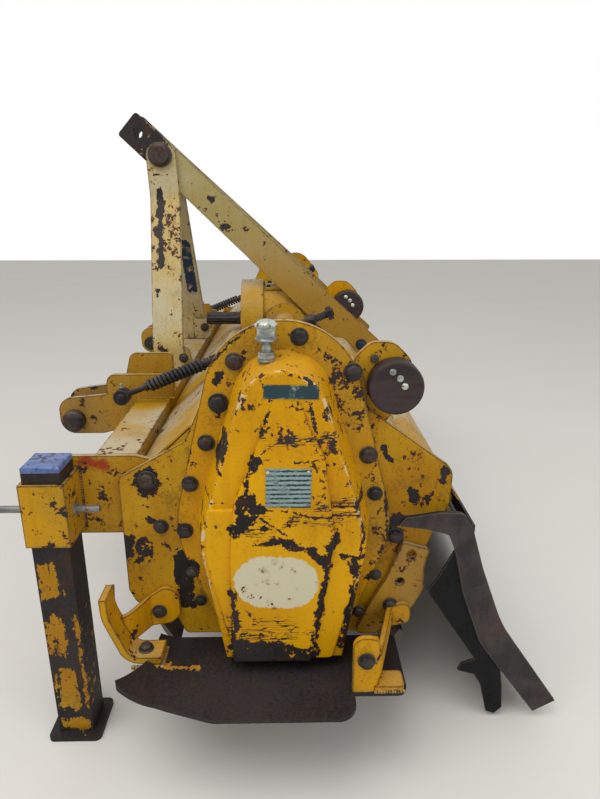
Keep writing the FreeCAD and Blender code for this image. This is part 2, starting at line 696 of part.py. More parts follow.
def spring_post():
    """Post on the right axle tube that carries the rear of the spring rod."""
    run = SPRING_REAR - SPRING_FRONT
    length = run.Length
    share = SPRING_FRONT.y / (SPRING_FRONT.y - SPRING_REAR.y)
    height = SPRING_FRONT.z + run.z * share
    half = SPRING_R
    post = box(SPRING_X - half, SPRING_X + half, -half, half, DRIVE_Z, height + half + 4)
    post = post.cut(rod(V(0, 0, DRIVE_Z), ACROSS, AXLE_TUBE_R, 2 * SPRING_X))
    return post.cut(rod(SPRING_FRONT, run.normalize(), SPRING_ROD_R, length))


def rear_disc(x):
    """Round disc on the outer side of a lobed plate that stands on the hood; the plate starts at x."""
    plate = side_slab([
        (DISC_Y + 66, HOOD_TOP - 10, 0), (DISC_Y + 66, DISC_Z + 42, 30), (DISC_Y + 38, DISC_Z + 68, 20),
        (DISC_Y + 2, DISC_Z + 68, 34), (DISC_Y - 32, DISC_Z + 34, 34), (DISC_Y - 18, DISC_Z - 28, 30),
        (DISC_Y + 20, HOOD_TOP - 10, 0),
    ], x, x + DISC_PLATE_T)
    disc = rod(V(x - DISC_DEPTH, DISC_Y, DISC_Z), ACROSS, DISC_R, DISC_DEPTH)
    disc = disc.makeFillet(3, [e for e in disc.Edges if abs(e.CenterOfMass.x - x + DISC_DEPTH) < 0.01])
    return above_hood(plate).fuse(disc).removeSplitter()


def rear_stubs():
    """The two rear discs with their plates: at the left end and beside the left stay's foot."""
    return Part.makeCompound([rear_disc(-SIDE_INNER), rear_disc(DISC_MIDDLE_X)])


def leg_arm():
    """Right arm that carries the parking leg's sleeve, flat on the side plate's inner face."""
    front = LEG_Y + SLEEVE_SIZE / 2 + 6
    top = ARM_LOW + ARM_HEIGHT
    rows = [
        (170, ARM_LOW, 20), (front, ARM_LOW, 10), (front, top, 10), (BEAM_REAR - 4, top, 6),
        (170, top - 20, 20),
    ]
    return side_slab(rows, SIDE_INNER - ARM_T, SIDE_INNER)


def leg_sleeve():
    """Square sleeve welded to the right arm's outer face; the parking leg slides in it."""
    half = SLEEVE_SIZE / 2
    hole = LEG_SIZE / 2 + LEG_FIT
    top = SLEEVE_LOW + SLEEVE_HEIGHT
    outer = box(LEG_X - half, LEG_X + half, LEG_Y - half, LEG_Y + half, SLEEVE_LOW, top)
    inner = box(LEG_X - hole, LEG_X + hole, LEG_Y - hole, LEG_Y + hole, 0, LEG_TOP)
    return outer.cut(inner)


def leg():
    """Right parking leg: square tube on a flared foot plate."""
    half = LEG_SIZE / 2
    body = box(LEG_X - half, LEG_X + half, LEG_Y - half, LEG_Y + half, FOOT_T, LEG_TOP)
    hole = half - LEG_WALL
    body = body.cut(box(LEG_X - hole, LEG_X + hole, LEG_Y - hole, LEG_Y + hole, FOOT_T, LEG_TOP))
    foot = FOOT_SIZE / 2
    rows = [
        (LEG_X - foot, LEG_Y - foot, 10), (LEG_X + foot, LEG_Y - foot, 10),
        (LEG_X + foot, LEG_Y + foot, 10), (LEG_X - foot, LEG_Y + foot, 10),
    ]
    return body.fuse(plan_slab(rows, 0, FOOT_T)).removeSplitter()


def leg_cap():
    """Plastic cap pushed into the top of the right leg."""
    half = LEG_SIZE / 2
    crown = LEG_TOP + CAP_HEIGHT
    top = box(LEG_X - half, LEG_X + half, LEG_Y - half, LEG_Y + half, LEG_TOP, crown)
    top = top.makeFillet(4, [e for e in top.Edges if abs(e.CenterOfMass.z - crown) < 0.01])
    plug = half - LEG_WALL
    return top.fuse(box(LEG_X - plug, LEG_X + plug, LEG_Y - plug, LEG_Y + plug, LEG_TOP - 14, LEG_TOP))


def leg_screws():
    """Clamp pins with washers, in front of and behind the right leg, that stop at its faces."""
    z = SLEEVE_LOW + SLEEVE_HEIGHT / 2 - 4
    parts = []
    for side, length in ((-1, LEG_PIN_REAR), (1, LEG_PIN_FRONT)):
        face = V(LEG_X, LEG_Y + side * SLEEVE_SIZE / 2, z)
        along = V(0, side, 0)
        washer = rod(face, along, LEG_WASHER_R, 4)
        parts.append(washer.fuse(rod(face, along, LEG_PIN_R, length)))
    return Part.makeCompound(parts)


def skid():
    """Right skid: a flat sole turned up at its nose, with a narrow tail under the rear bracket."""
    turn = math.radians(SKID_NOSE_TURN)
    nose_y = SKID_BEND_Y + SKID_NOSE * math.cos(turn)
    nose_z = SKID_Z + SKID_NOSE * math.sin(turn)
    bend = 0.9 * SKID_NOSE / math.tan(turn / 2)
    line = [(SKID_TAIL, SKID_Z, 0), (SKID_BEND_Y, SKID_Z, bend), (nose_y, nose_z, 0)]
    bent = side_slab(band(line, SKID_T), SKID_IN, SKID_OUT)
    w = SKID_WIDTH
    tail = SKID_IN + 0.73 * w
    plan = plan_slab([
        (SKID_IN, SKID_TAIL, 0.05 * w), (tail, SKID_TAIL, 0.08 * w), (tail, SKID_REAR, 0.02 * w),
        (SKID_OUT, SKID_REAR, 0.16 * w), (SKID_OUT, 110, 0.3 * w), (SKID_OUT - 0.16 * w, 200, 0.3 * w),
        (SKID_OUT - 0.17 * w, 262, 0.02 * w), (SKID_IN + 0.35 * w, 227, 0.03 * w), (SKID_IN, 222, 0),
    ], SKID_Z - 1, nose_z + SKID_T)
    return bent.common(plan)


def skid_lug():
    """Right front lug: a strap bolted to the side plate, joggled out to a bow that ends on the skid."""
    inner = SIDE_X + BOW_WIDTH - LUG_T + 6
    bow_z = SKID_TOP
    line = [(SIDE_X, 180, 0), (SIDE_X, 240, 14), (inner, 270, 14), (inner, 300, 0)]
    strap = plan_slab(band(line, -LUG_T), bow_z, 2 * bow_z).common(side_slab([
        (202, bow_z + 32, 14), (184, bow_z + 48, 14), (186, bow_z + 92, 20), (208, bow_z + 106, 20),
        (240, bow_z + 84, 30), (284, bow_z + 71, 0), (264, bow_z + 22, 0),
    ], SIDE_X, inner + LUG_T))
    bow = side_slab(band([
        (288, bow_z + 133, 0), (287, bow_z + 98, 70), (258, bow_z + 20, 24), (206, bow_z + 20, 0),
    ], BOW_T), inner, inner + BOW_WIDTH)
    return strap.fuse(bow).cut(skid()).removeSplitter()


def skid_bracket():
    """Right rear bracket: an upright plate with a foot on the skid's tail, and the strap to it."""
    line = [
        (SIDE_X + LUG_T, -222, 0), (SIDE_X + LUG_T, -182, 12), (BRACKET_X, BRACKET_REAR + 6, 12),
        (BRACKET_X, SKID_REAR + 4, 0),
    ]
    high = SKID_TOP + 102
    bent = plan_slab(band(line, -LUG_T), SKID_TOP, high)
    outline = side_slab([
        (-222, SKID_TOP + 78, 14), (-186, SKID_TOP + 66, 20), (BRACKET_REAR, SKID_TOP + 62, 4),
        (BRACKET_REAR, high, 18), (SKID_REAR + 4, high, 18), (SKID_REAR + 4, SKID_TOP, 0),
        (BRACKET_REAR, SKID_TOP, 0), (BRACKET_REAR, SKID_TOP + 22, 4), (-186, SKID_TOP + 26, 20),
        (-222, SKID_TOP + 34, 14),
    ], SIDE_X, BRACKET_X + LUG_T)
    foot = plan_slab([
        (BRACKET_X - 26, BRACKET_REAR + 6, 0), (BRACKET_X + LUG_T, BRACKET_REAR + 6, 0),
        (BRACKET_X + LUG_T, SKID_TAIL + 5, 8), (BRACKET_X - 26, SKID_TAIL + 5, 8),
    ], SKID_TOP, SKID_TOP + LUG_T)
    return bent.common(outline).fuse(foot).removeSplitter()


def adjust_plate():
    """Right rear plate with two spare holes that sets the skid's height, tapering to a tail."""
    low = SKID_TOP
    rows = [
        (-204, low + 189, 4), (-251, low + 175, 5), (-243, low + 140, 12), (-245, low + 96, 20),
        (-226, low + 56, 20), (-186, low + 36, 20), (-166, low + 4, 8), (-124, low + 4, 8),
        (-155, low + 76, 30), (-178, low + 118, 30),
    ]
    plate = side_slab(rows, SIDE_X, SIDE_X + LUG_T)
    for y, z in ((-220, low + 166), (-202, low + 112)):
        plate = plate.cut(rod(V(SIDE_X - 1, y, z), ACROSS, 8, LUG_T + 2))
    return plate


def rotor_tube():
    """Rotor tube with its blade flanges and end plates, and the two stub shafts."""
    body = tube(V(-ROTOR_HALF, 0, ROTOR_Z), ACROSS, ROTOR_TUBE_R, ROTOR_TUBE_WALL, 2 * ROTOR_HALF)
    for i in range(FLANGE_COUNT):
        x = (i - (FLANGE_COUNT - 1) / 2) * FLANGE_PITCH
        body = body.fuse(tube(V(x - FLANGE_T / 2, 0, ROTOR_Z), ACROSS, FLANGE_R,
                              FLANGE_R - ROTOR_TUBE_R + 2, FLANGE_T))
    return body.removeSplitter()


def stub_shafts():
    """Stub shafts plugged into both ends of the rotor tube, running in the side plates' hubs."""
    end = SIDE_INNER - 2
    shafts = []
    for side in (-1, 1):
        along = V(side, 0, 0)
        plug = rod(V(side * (ROTOR_HALF - 60), 0, ROTOR_Z), along, ROTOR_TUBE_R - ROTOR_TUBE_WALL, 60)
        shaft = rod(V(side * (ROTOR_HALF - 1), 0, ROTOR_Z), along, SHAFT_R, end - ROTOR_HALF + 1)
        shafts.append(plug.fuse(shaft).removeSplitter())
    return Part.makeCompound(shafts)


def blade(hand):
    """One bent blade on its flange's face, pointing up: hand 1 bends towards +X, -1 towards -X."""
    face = FLANGE_T / 2
    tip = ROTOR_R
    line = [(face, BLADE_ROOT_R, 0), (face, tip - 1, BLADE_BEND_R), (face + BLADE_REACH, tip - 1, 0)]
    bent = front_slab([(x, z, r) for x, z, r in band(line, -BLADE_T)], -80, 80)
    low = BLADE_ROOT_R
    wide = BLADE_WIDTH / 2
    outline = side_slab([
        (-wide, low, 8), (wide, low, 8), (wide + 2, 150, 90), (wide - 14, tip + 4, 0),
        (-wide - 22, tip + 4, 0), (-wide, 150, 90),
    ], 0, 200)
    crown = rod(MIDDLE, ACROSS, tip, 200)
    piece = bent.common(outline).common(crown)
    if hand < 0:
        piece = mirrored(piece)
    return piece


def blades(hand):
    """All blades of one hand, spiralling along the rotor."""
    master = blade(hand)
    pieces = []
    for i in range(FLANGE_COUNT):
        x = (i - (FLANGE_COUNT - 1) / 2) * FLANGE_PITCH
        for k in range(FLANGE_BLADES // 2):
            turn = 180 + i * SPIRAL_STEP + k * 120 + (60 if hand < 0 else 0)
            piece = master.copy()
            piece.rotate(MIDDLE, ACROSS, turn)
            pieces.append(moved(piece, x, 0, ROTOR_Z))
    return Part.makeCompound(pieces)


BOARD_TOP = HINGE + V(0, -KNUCKLE_R - HINGE_CLEAR, 8)
BOARD_LINE = [
    (BOARD_TOP.y, BOARD_TOP.z, 0), (BOARD_TOP.y, 0.868 * HINGE.z, 0.62 * HINGE.z),
    (BOARD_TOP.y - 40, 0.59 * HINGE.z, 0.76 * HINGE.z), (34 - REACH, 26, 0),
]


def board_sheet():
    """Trailing board: one sheet that curves back to its lower edge, with its hinge knuckles."""
    sheet = side_slab(band(BOARD_LINE, -BOARD_T), -BOARD_HALF, BOARD_HALF)
    for x in KNUCKLE_PLACES:
        start = x + KNUCKLE_GAP / 2
        tab = box(start, start + KNUCKLE_LENGTH, BOARD_TOP.y - 1, HINGE.y, HINGE.z - 6, HINGE.z + 6)
        bore = rod(V(start - 1, HINGE.y, HINGE.z), ACROSS, HINGE_ROD_R + HINGE_FIT, KNUCKLE_LENGTH + 2)
        sheet = sheet.fuse(tab.fuse(knuckle(start, HINGE_ROD_R)).cut(bore))
    return sheet.removeSplitter()


def board_end():
    """Right end plate of the board: its edge strip, the cheek in front and a torn rag that hangs down."""
    y = HINGE.y
    z = HINGE.z
    strip = side_slab([
        (y + 107, z + 12, 3), (y + 96, z + 27, 8), (y + 38, z + 36, 20), (y - 1, z + 34, 18),
        (y - 17, z + 8, 30), (y - 41, z - 70, 200), (y - 85, z - 186, 300), (-REACH, 38, 0),
        (y - 162, 14, 2), (y - 94, z - 286, 100), (y - 49, z - 222, 100), (y - 11, z - 119, 200),
        (y + 9, z - 36, 100), (y + 22, z - 5, 12), (y + 63, z + 6, 20),
    ], BOARD_HALF, BOARD_HALF + STRIP_T)
    cheek = side_slab([
        (y - 7, z - 3, 6), (y + 35, z - 93, 20), (y + 51, z - 117, 8), (y - 49, z - 269, 8),
        (y - 103, z - 293, 2), (y - 19, z - 93, 100),
    ], BOARD_HALF, BOARD_HALF + STRIP_T / 2)
    rag = side_slab([
        (y - 15, z - 286, 2), (y - 21, z - 271, 2), (y - 46, z - 262, 0), (y - 93, z - 280, 0),
        (y - 100, z - 320, 3), (y - 105, z - 372, 3), (y - 92, z - 386, 2), (y - 76, z - 380, 2),
        (y - 60, z - 318, 3), (y - 47, z - 296, 2),
    ], BOARD_HALF, BOARD_HALF + STRIP_T / 2)
    return strip.fuse(cheek).fuse(rag).removeSplitter()


def pair(shape):
    """A right-hand piece with its mirrored twin on the left, as one node."""
    return Part.makeCompound([shape, mirrored(shape)])


def build():
    """Every node by name."""
    nodes = {}

    def both(name, shape):
        nodes[name + "_right"] = shape
        nodes[name + "_left"] = mirrored(shape)

    both("side_plate", side_plate())
    nodes["bearing_hubs"] = pair(bearing_hub())
    nodes["bearing_cap"] = bearing_cap()
    nodes["gear_case_flange"] = case_flange()
    nodes["gear_case_cover"] = case_cover()
    nodes["oil_breather"] = breather()
    nodes["axle_tubes"] = pair(axle_tube())
    nodes["front_beam"] = front_beam()
    nodes["hood"] = hood()
    nodes["gearbox"] = gearbox()
    nodes["pto_shaft"] = pto_shaft()
    nodes["pto_guard"] = guard()
    both("mast_upright", upright())
    both("mast_stay", stay())
    nodes["stay_feet"] = pair(stay_foot())
    nodes["mast_bolt"] = mast_bolt()
    both("hitch_plates", hitch_plates())
    nodes["hitch_pins"] = pair(hitch_pin())
    nodes["spring_rods"] = pair(spring_rod())
    nodes["spring_coils"] = pair(spring_coil())
    nodes["spring_posts"] = pair(spring_post())
    nodes["rear_stubs"] = rear_stubs()
    nodes["leg_arms"] = pair(leg_arm())
    nodes["leg_sleeves"] = pair(leg_sleeve())
    nodes["leg_screws"] = pair(leg_screws())
    both("leg", leg())
    both("leg_cap", leg_cap())
    both("skid", skid())
    nodes["skid_lugs"] = pair(skid_lug())
    nodes["skid_brackets"] = pair(skid_bracket())
    nodes["adjust_plates"] = pair(adjust_plate())
    nodes["rotor_tube"] = rotor_tube()
    nodes["stub_shafts"] = stub_shafts()
    nodes["blades_left_hand"] = blades(-1)
    nodes["blades_right_hand"] = blades(1)
    nodes["hinge_rod"] = hinge_rod()
    nodes["board_sheet"] = board_sheet()
    nodes["board_ends"] = pair(board_end())
    return nodes


os.makedirs("parts", exist_ok=True)
for name, shape in build().items():
    shape.exportStep(f"parts/{name}.step")
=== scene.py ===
# %% [markdown]
# # Dressing a parked rotary tiller
# The machine is an old three-point-hitch tiller: thick yellow paint over dark steel, chipped on every
# edge, with bare skids and a rusty trailing board. The solids already have the right sizes, so this
# lesson adds the small pieces and the finishes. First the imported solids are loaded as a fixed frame.

# %% Load the frame
import bpy
import math
import random
from mathutils import Matrix, Vector


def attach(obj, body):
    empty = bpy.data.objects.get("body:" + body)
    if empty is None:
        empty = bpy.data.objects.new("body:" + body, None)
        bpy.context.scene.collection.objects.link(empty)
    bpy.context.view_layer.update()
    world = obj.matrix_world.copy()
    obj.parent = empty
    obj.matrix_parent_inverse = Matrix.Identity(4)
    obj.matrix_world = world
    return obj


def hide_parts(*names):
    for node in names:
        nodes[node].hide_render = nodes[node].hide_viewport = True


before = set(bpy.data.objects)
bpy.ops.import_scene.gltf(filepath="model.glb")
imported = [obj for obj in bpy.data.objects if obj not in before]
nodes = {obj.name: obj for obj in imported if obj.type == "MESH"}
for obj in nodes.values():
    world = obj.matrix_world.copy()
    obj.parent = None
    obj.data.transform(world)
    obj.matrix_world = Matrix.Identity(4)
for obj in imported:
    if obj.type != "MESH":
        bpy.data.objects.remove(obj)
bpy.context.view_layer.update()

# %% [markdown]
# The camera stands a short step to the left of the machine, at chest height, and looks along the rotor
# at the gear case. A phone's wide lens gives the strong perspective: the far mast leg looks much
# smaller than the near one. The lens value is for a picture 600 wide and 799 high.

# %% Camera
CAMERA_PLACE = Vector((-1.695, -0.010, 0.910))
CAMERA_FORWARD = Vector((0.9511, -0.0181, -0.3084))
CAMERA_LENS = 27.03
bpy.ops.object.camera_add(location=CAMERA_PLACE)
camera = bpy.context.object
camera.rotation_euler = CAMERA_FORWARD.to_track_quat("-Z", "Y").to_euler()
camera.data.lens = CAMERA_LENS
camera.data.sensor_width = 36.0
camera.data.clip_start = 0.02
bpy.context.scene.camera = camera
bpy.context.scene.view_settings.view_transform = "Standard"

# %% [markdown]
# Colours are easier to judge as screen values from 0 to 255, so a helper turns them into the linear
# values that shaders work with. The yellows differ a lot over this machine: deep on the gear case,
# chalky on whatever faces the sky.

# %% Colours
def colour(red, green, blue):
    """Linear RGBA from screen values 0 to 255."""
    def linear(value):
        share = value / 255
        return share / 12.92 if share <= 0.04045 else ((share + 0.055) / 1.055) ** 2.4
    return (linear(red), linear(green), linear(blue), 1.0)


YELLOW = colour(205, 148, 0)
AGED = colour(178, 136, 30)
OCHRE = colour(166, 116, 10)
CREAM = colour(186, 176, 142)
ORANGE = colour(176, 112, 40)
CHIP = colour(54, 48, 47)
CHIP_DARK = colour(34, 31, 32)
RIM = colour(104, 56, 18)
RUST = colour(118, 66, 30)
RUST_DARK = colour(70, 42, 28)
DUST = colour(186, 172, 142)
DIRT = colour(104, 80, 30)
POLISHED = colour(112, 103, 95)
PRIMER_AND_HIGHLIGHT = colour(206, 198, 168)
FLOOR = colour(226, 223, 217)

# %% [markdown]
# A material is a tree of small nodes. Adding each one by hand takes many lines, so this class keeps the
# tree and offers the few steps that worn paint needs: a noise, a soft threshold, a mix of two colours,
# a sum. Every pattern reads Object coordinates, in metres, so it keeps its real scale on every piece.

# %% Node helper
class Finish:
    """One material under construction, with short calls for its nodes."""

    def __init__(self, name):
        self.material = bpy.data.materials.new(name)
        self.material.use_nodes = True
        self.tree = self.material.node_tree
        self.shader = self.tree.nodes["Principled BSDF"]
        self.place = self.add("ShaderNodeTexCoord").outputs["Object"]

    def add(self, kind, inputs=(), **settings):
        """A new node: settings are its own properties, inputs maps sockets to values or outputs."""
        node = self.tree.nodes.new(kind)
        for key, value in settings.items():
            setattr(node, key, value)
        for socket, value in dict(inputs).items():
            if isinstance(value, bpy.types.NodeSocket):
                self.tree.links.new(value, node.inputs[socket])
            else:
                node.inputs[socket].default_value = value
        return node

    def vector(self, operation, a, b=None, scale=None):
        """A vector operation on a and b, or on a and a scale."""
        inputs = {0: a}
        if b is not None:
            inputs[1] = b
        if scale is not None:
            inputs["Scale"] = scale
        node = self.add("ShaderNodeVectorMath", inputs, operation=operation)
        return node.outputs["Value" if operation in ("LENGTH", "DOT_PRODUCT") else "Vector"]

    def noise(self, scale, detail=3.0, roughness=0.55, distortion=0.0, vector=None, output="Fac"):
        node = self.add("ShaderNodeTexNoise", {
            "Vector": vector or self.place, "Scale": scale, "Detail": detail, "Roughness": roughness,
            "Distortion": distortion})
        return node.outputs[output]

    def score(self, *settings, **more):
        """A noise as a score: 0 is its mean and 1 about one standard deviation above it."""
        return self.math("MULTIPLY_ADD", self.noise(*settings, **more), 15.0, -7.5)

    def lines(self, squash, scale=1.0, width=0.012):
        """Thin wandering lines, 1 on them: where a noise crosses its mean. squash stretches them."""
        n = self.noise(scale, 3.0, 0.5, 0.1, self.vector("MULTIPLY", self.place, squash))
        return self.step(self.math("ABSOLUTE", self.math("SUBTRACT", n, 0.5)), width, 0.0)

    def math(self, operation, a, b=0.0, c=0.0, clamp=False):
        inputs = {0: a, 1: b, 2: c}
        return self.add("ShaderNodeMath", inputs, operation=operation, use_clamp=clamp).outputs[0]

    def total(self, *parts):
        """Sum of pairs (value, weight)."""
        result = 0.0
        for value, weight in parts:
            result = self.math("MULTIPLY_ADD", value, weight, result)
        return result

    def step(self, value, low, high):
        """0 at low, 1 at high and smooth between them; low may be the larger one."""
        inputs = {"Value": value, "From Min": low, "From Max": high}
        return self.add("ShaderNodeMapRange", inputs, interpolation_type="SMOOTHSTEP").outputs[0]

    def mix(self, share, a, b):
        """Colour a where share is 0 and colour b where it is 1."""
        return self.add("ShaderNodeMix", {"Factor": share, 6: a, 7: b}, data_type="RGBA").outputs[2]

    def edges(self, radius, gain=6.0):
        """About 0 on flat faces and up to 1 along sharp outer and inner edges."""
        rounded = self.add("ShaderNodeBevel", {"Radius": radius}, samples=4).outputs[0]
        flat = self.add("ShaderNodeNewGeometry").outputs["Normal"]
        aligned = self.vector("DOT_PRODUCT", rounded, flat)
        return self.math("MULTIPLY_ADD", aligned, -gain, gain, clamp=True)

    def facing(self, direction, low, high):
        """1 on faces that look along direction."""
        flat = self.add("ShaderNodeNewGeometry").outputs["Normal"]
        return self.step(self.vector("DOT_PRODUCT", flat, direction), low, high)

    def jittered(self, scale, reach):
        """The place, shaken by a noise of this scale, so that shapes drawn on it get ragged outlines."""
        shake = self.noise(scale, 5.0, 0.7, 0.0, output="Color")
        shake = self.vector("SUBTRACT", shake, (0.5, 0.5, 0.5))
        return self.vector("ADD", self.place, self.vector("SCALE", shake, scale=reach * 4))

    def strokes(self, rows, place):
        """Distance from the nearest stroke over its radius: under 1 inside one.

        Rows (y0, z0, y1, z1, radius) are lines in the side view, in millimetres. A shader holds few
        values at a time, so every fourth stroke waits for the last result, which is added as nothing.
        """
        side = self.vector("MULTIPLY", place, (0.0, 1000.0, 1000.0))
        nearest = 99.0
        for i, (y0, z0, y1, z1, radius) in enumerate(rows):
            if i % 4 == 3:
                side = self.vector("ADD", side, self.vector("SCALE", (0.0, 1e-6, 0.0), scale=nearest))
            start = Vector((0.0, y0, z0))
            run = Vector((0.0, y1, z1)) - start
            away = self.vector("SUBTRACT", side, start)
            if run.length > 0:
                share = self.vector("DOT_PRODUCT", away, run / run.length_squared)
                share = self.math("ADD", share, 0.0, clamp=True)
                away = self.vector("SUBTRACT", away, self.vector("SCALE", run, scale=share))
            size = self.math("DIVIDE", self.vector("LENGTH", away), radius)
            nearest = self.math("MINIMUM", size, nearest)
        return nearest

    def bump(self, height, strength, distance):
        inputs = {"Height": height, "Strength": strength, "Distance": distance}
        return self.add("ShaderNodeBump", inputs).outputs[0]

    def set(self, **sockets):
        """Links or sets the shader's own sockets and gives the material back."""
        names = {"color": "Base Color", "metal": "Metallic", "rough": "Roughness", "normal": "Normal",
                 "specular": "Specular IOR Level"}
        for key, value in sockets.items():
            socket = self.shader.inputs[names[key]]
            if isinstance(value, bpy.types.NodeSocket):
                self.tree.links.new(value, socket)
            else:
                socket.default_value = value
        return self.material


# %% [markdown]
# Worn paint is the finish that carries this machine. On the real thing the yellow has come off along
# the edges, in ragged chips, and where crops and soil rubbed it for years. So one field, the loss, is
# summed from noises, edge wear and drawn strokes. Wide strokes get ragged outlines and narrow ones
# break up like cuts.

# %% Where paint is lost
EDGE_REACH = 0.005
WIDEST_CUT = 4


def paint_loss(f, noises, places, chips, wear, strokes, keep, zones):
    """The field whose high values are bare: noises, edges, blots, cuts, kept places and scratches."""
    ragged, broad, fine = noises
    coarse, slight = places
    loss = f.total((ragged, 0.8), (broad, 0.5), (fine, 0.35), (f.edges(EDGE_REACH), 2.4 * wear))
    blots = [row for row in strokes if row[4] > WIDEST_CUT]
    if blots:
        loss = f.total((f.step(f.strokes(blots, coarse), 1.4, 0.8), 4.2), (loss, 1.0))
    cuts = [row for row in strokes if row[4] <= WIDEST_CUT]
    if cuts:
        broken = f.step(f.score(70.0, 3.0), -1.6, -0.4)
        cut = f.math("MULTIPLY", f.step(f.strokes(cuts, slight), 1.3, 0.5), broken)
        loss = f.total((cut, 3.4), (loss, 1.0))
    if keep:
        streaks = f.score(1.0, 5.0, 0.7, vector=f.vector("MULTIPLY", f.place, (110.0, 110.0, 16.0)))
        left = f.math("MULTIPLY_ADD", streaks, 0.25, f.strokes(keep, coarse))
        loss = f.total((f.step(left, 1.3, 0.8), 0.4 - chips), (loss, 1.0))
    if zones:
        where = f.step(f.strokes(zones, coarse), 1.3, 0.6)
        thin = f.lines((5.0, 14.0, 70.0), 1.7, 0.026)
        hairs = f.math("MAXIMUM", f.lines((5.0, 6.0, 130.0), 1.0, 0.032), thin)
        hairs = f.math("MULTIPLY", f.math("MULTIPLY", hairs, where), f.step(f.score(22.0, 3.0), -1.4, -0.4))
        loss = f.total((hairs, 3.9), (loss, 1.0))
    return loss


# %% [markdown]
# The paint itself is never one colour. It has two tones in broad areas, runs below every edge, dirt in
# clouds and rust specks. What is drawn on it, such as the rest of a decal or a red smudge, comes last.

# %% Tone of the paint
def paint_tone(f, noises, places, paint, aged, grime, patch, low, smudge):
    """Colour of the paint where it is still there."""
    ragged, broad, fine = noises
    coarse, slight = places
    tone = f.mix(f.step(broad, -1.4, 1.6), paint, aged)
    if low:
        height = f.add("ShaderNodeSeparateXYZ", {0: f.place}).outputs["Z"]
        height = f.math("MULTIPLY_ADD", broad, 0.03, height)
        tone = f.mix(f.step(height, low[2], low[1]), tone, low[0])
    runs = f.score(1.0, 4.0, vector=f.vector("MULTIPLY", f.place, (55.0, 55.0, 5.0)))
    tone = f.mix(f.math("MULTIPLY", f.step(runs, 0.2, 2.2), 0.45 * grime), tone, OCHRE)
    dirt = f.step(f.total((f.score(9.0, 6.0, 0.7), 0.8), (fine, 0.4)), 0.3, 2.4)
    tone = f.mix(f.math("MULTIPLY", dirt, 0.6 * grime), tone, DIRT)
    specks = f.step(f.score(240.0, 2.0), 1.9, 2.5)
    tone = f.mix(f.math("MULTIPLY", specks, 0.6 * grime), tone, RUST)
    if patch:
        label = f.step(f.strokes(patch[0], slight), 1.03, 0.99)
        tone = f.mix(label, tone, f.mix(f.step(ragged, 0.8, 2.6), patch[1], DUST))
    if smudge:
        tone = f.mix(f.step(f.strokes(smudge[0], coarse), 1.6, 0.4), tone, smudge[1])
    return tone, dirt


# %% [markdown]
# Both come together in the finish. Each chip shows dark steel with a thin brown rim, because rust
# creeps under the paint, and around it the paint is stained orange. Thresholds of the one loss field
# give all three, so they always fit each other. Dust lies on what faces the sky.

# %% Worn paint
def worn_paint(name, paint, aged, chips=0.5, wear=1.0, grime=0.5, strokes=(), keep=(), zones=(),
               sky=0.6, patch=None, low=None, smudge=None, lip=(), warm=0.35, above=False, rust=0.55):
    """Chipped paint. chips and wear raise the bare share, strokes are bare and keep stays painted.

    zones hold scratches, patch is (rows, colour) of a remaining label, low is (colour, z0, z1) of a
    second paint tone towards the ground, smudge is (rows, colour), lip is a row of a chipped rim, its
    dark bits partly bare steel and partly painted shade, its pale line primer and partly a painted
    highlight, and warm is how orange the paint turns around its chips. above draws keep in the top view, as (y,
    -x).
    rust is how brown the bare steel gets.
    """
    f = Finish(name)
    coarse = f.jittered(60.0, 0.008)
    slight = f.jittered(130.0, 0.0035)
    if above:
        turn = {"Vector": coarse, "Rotation": (0.0, math.radians(90), 0.0)}
        coarse = f.add("ShaderNodeMapping", turn).outputs[0]
    noises = ragged, broad, fine = f.score(44.0, 5.0, 0.62, 0.3), f.score(4.0, 3.0), f.score(170.0, 3.0)
    places = coarse, slight
    loss = paint_loss(f, noises, places, chips, wear, strokes, keep, zones)
    # The rim line darkens the rim: partly rubbed bare steel, partly painted shade of the gap at the rim.
    if lip:
        front = f.facing((-1.0, 0.0, 0.0), 0.25, 0.6)
        off_lip = f.math("DIVIDE", f.strokes(lip, slight), f.math("MAXIMUM", front, 0.01))
        rubbed = f.math("MULTIPLY", f.step(off_lip, 1.3, 0.5), f.step(f.score(60.0, 4.0), -0.6, 0.6))
        loss = f.total((rubbed, 2.6), (loss, 1.0))
    level = 2.5 - chips
    bare = f.step(loss, level, level + 0.14)
    rim = f.step(loss, level - 0.36, level - 0.06)
    stain = f.step(loss, level - 1.0, level - 0.2)
    tone, dirt = paint_tone(f, noises, places, paint, aged, grime, patch, low, smudge)
    top = f.math("MULTIPLY", f.facing((0.0, 0.0, 1.0), 0.35, 0.95), f.step(broad, -2.2, 1.0))
    tone = f.mix(f.math("MULTIPLY", top, sky), tone, DUST)
    # The pale line along the rim is primer and partly a painted highlight on the rim's edge.
    if lip:
        pale = f.math("MULTIPLY", f.step(off_lip, 1.9, 1.1), f.step(f.score(45.0, 3.0), -0.2, 0.6))
        tone = f.mix(f.math("MULTIPLY", pale, 0.75), tone, PRIMER_AND_HIGHLIGHT)
    tone = f.mix(f.math("MULTIPLY", stain, warm), tone, ORANGE)
    steel = f.mix(f.step(f.total((fine, 0.35), (broad, 0.7)), -1.6, 2.0), CHIP_DARK, CHIP)
    steel = f.mix(f.math("MULTIPLY", f.step(f.score(26.0, 5.0, 0.7), 0.3, 1.8), rust), steel, RUST_DARK)
    base = f.mix(f.math("MULTIPLY", rim, 0.9), tone, RIM)
    base = f.mix(bare, base, steel)
    relief = f.total((rim, -0.55), (bare, -0.25), (f.score(60.0, 3.0), 0.03), (fine, 0.02), (ragged, 0.02))
    rough = f.total((rim, 0.22), (dirt, 0.12), (bare, -0.12), (fine, 0.02), (1.0, 0.42))
    return f.set(color=base, rough=rough, normal=f.bump(relief, 0.6, 0.0016), specular=0.16)
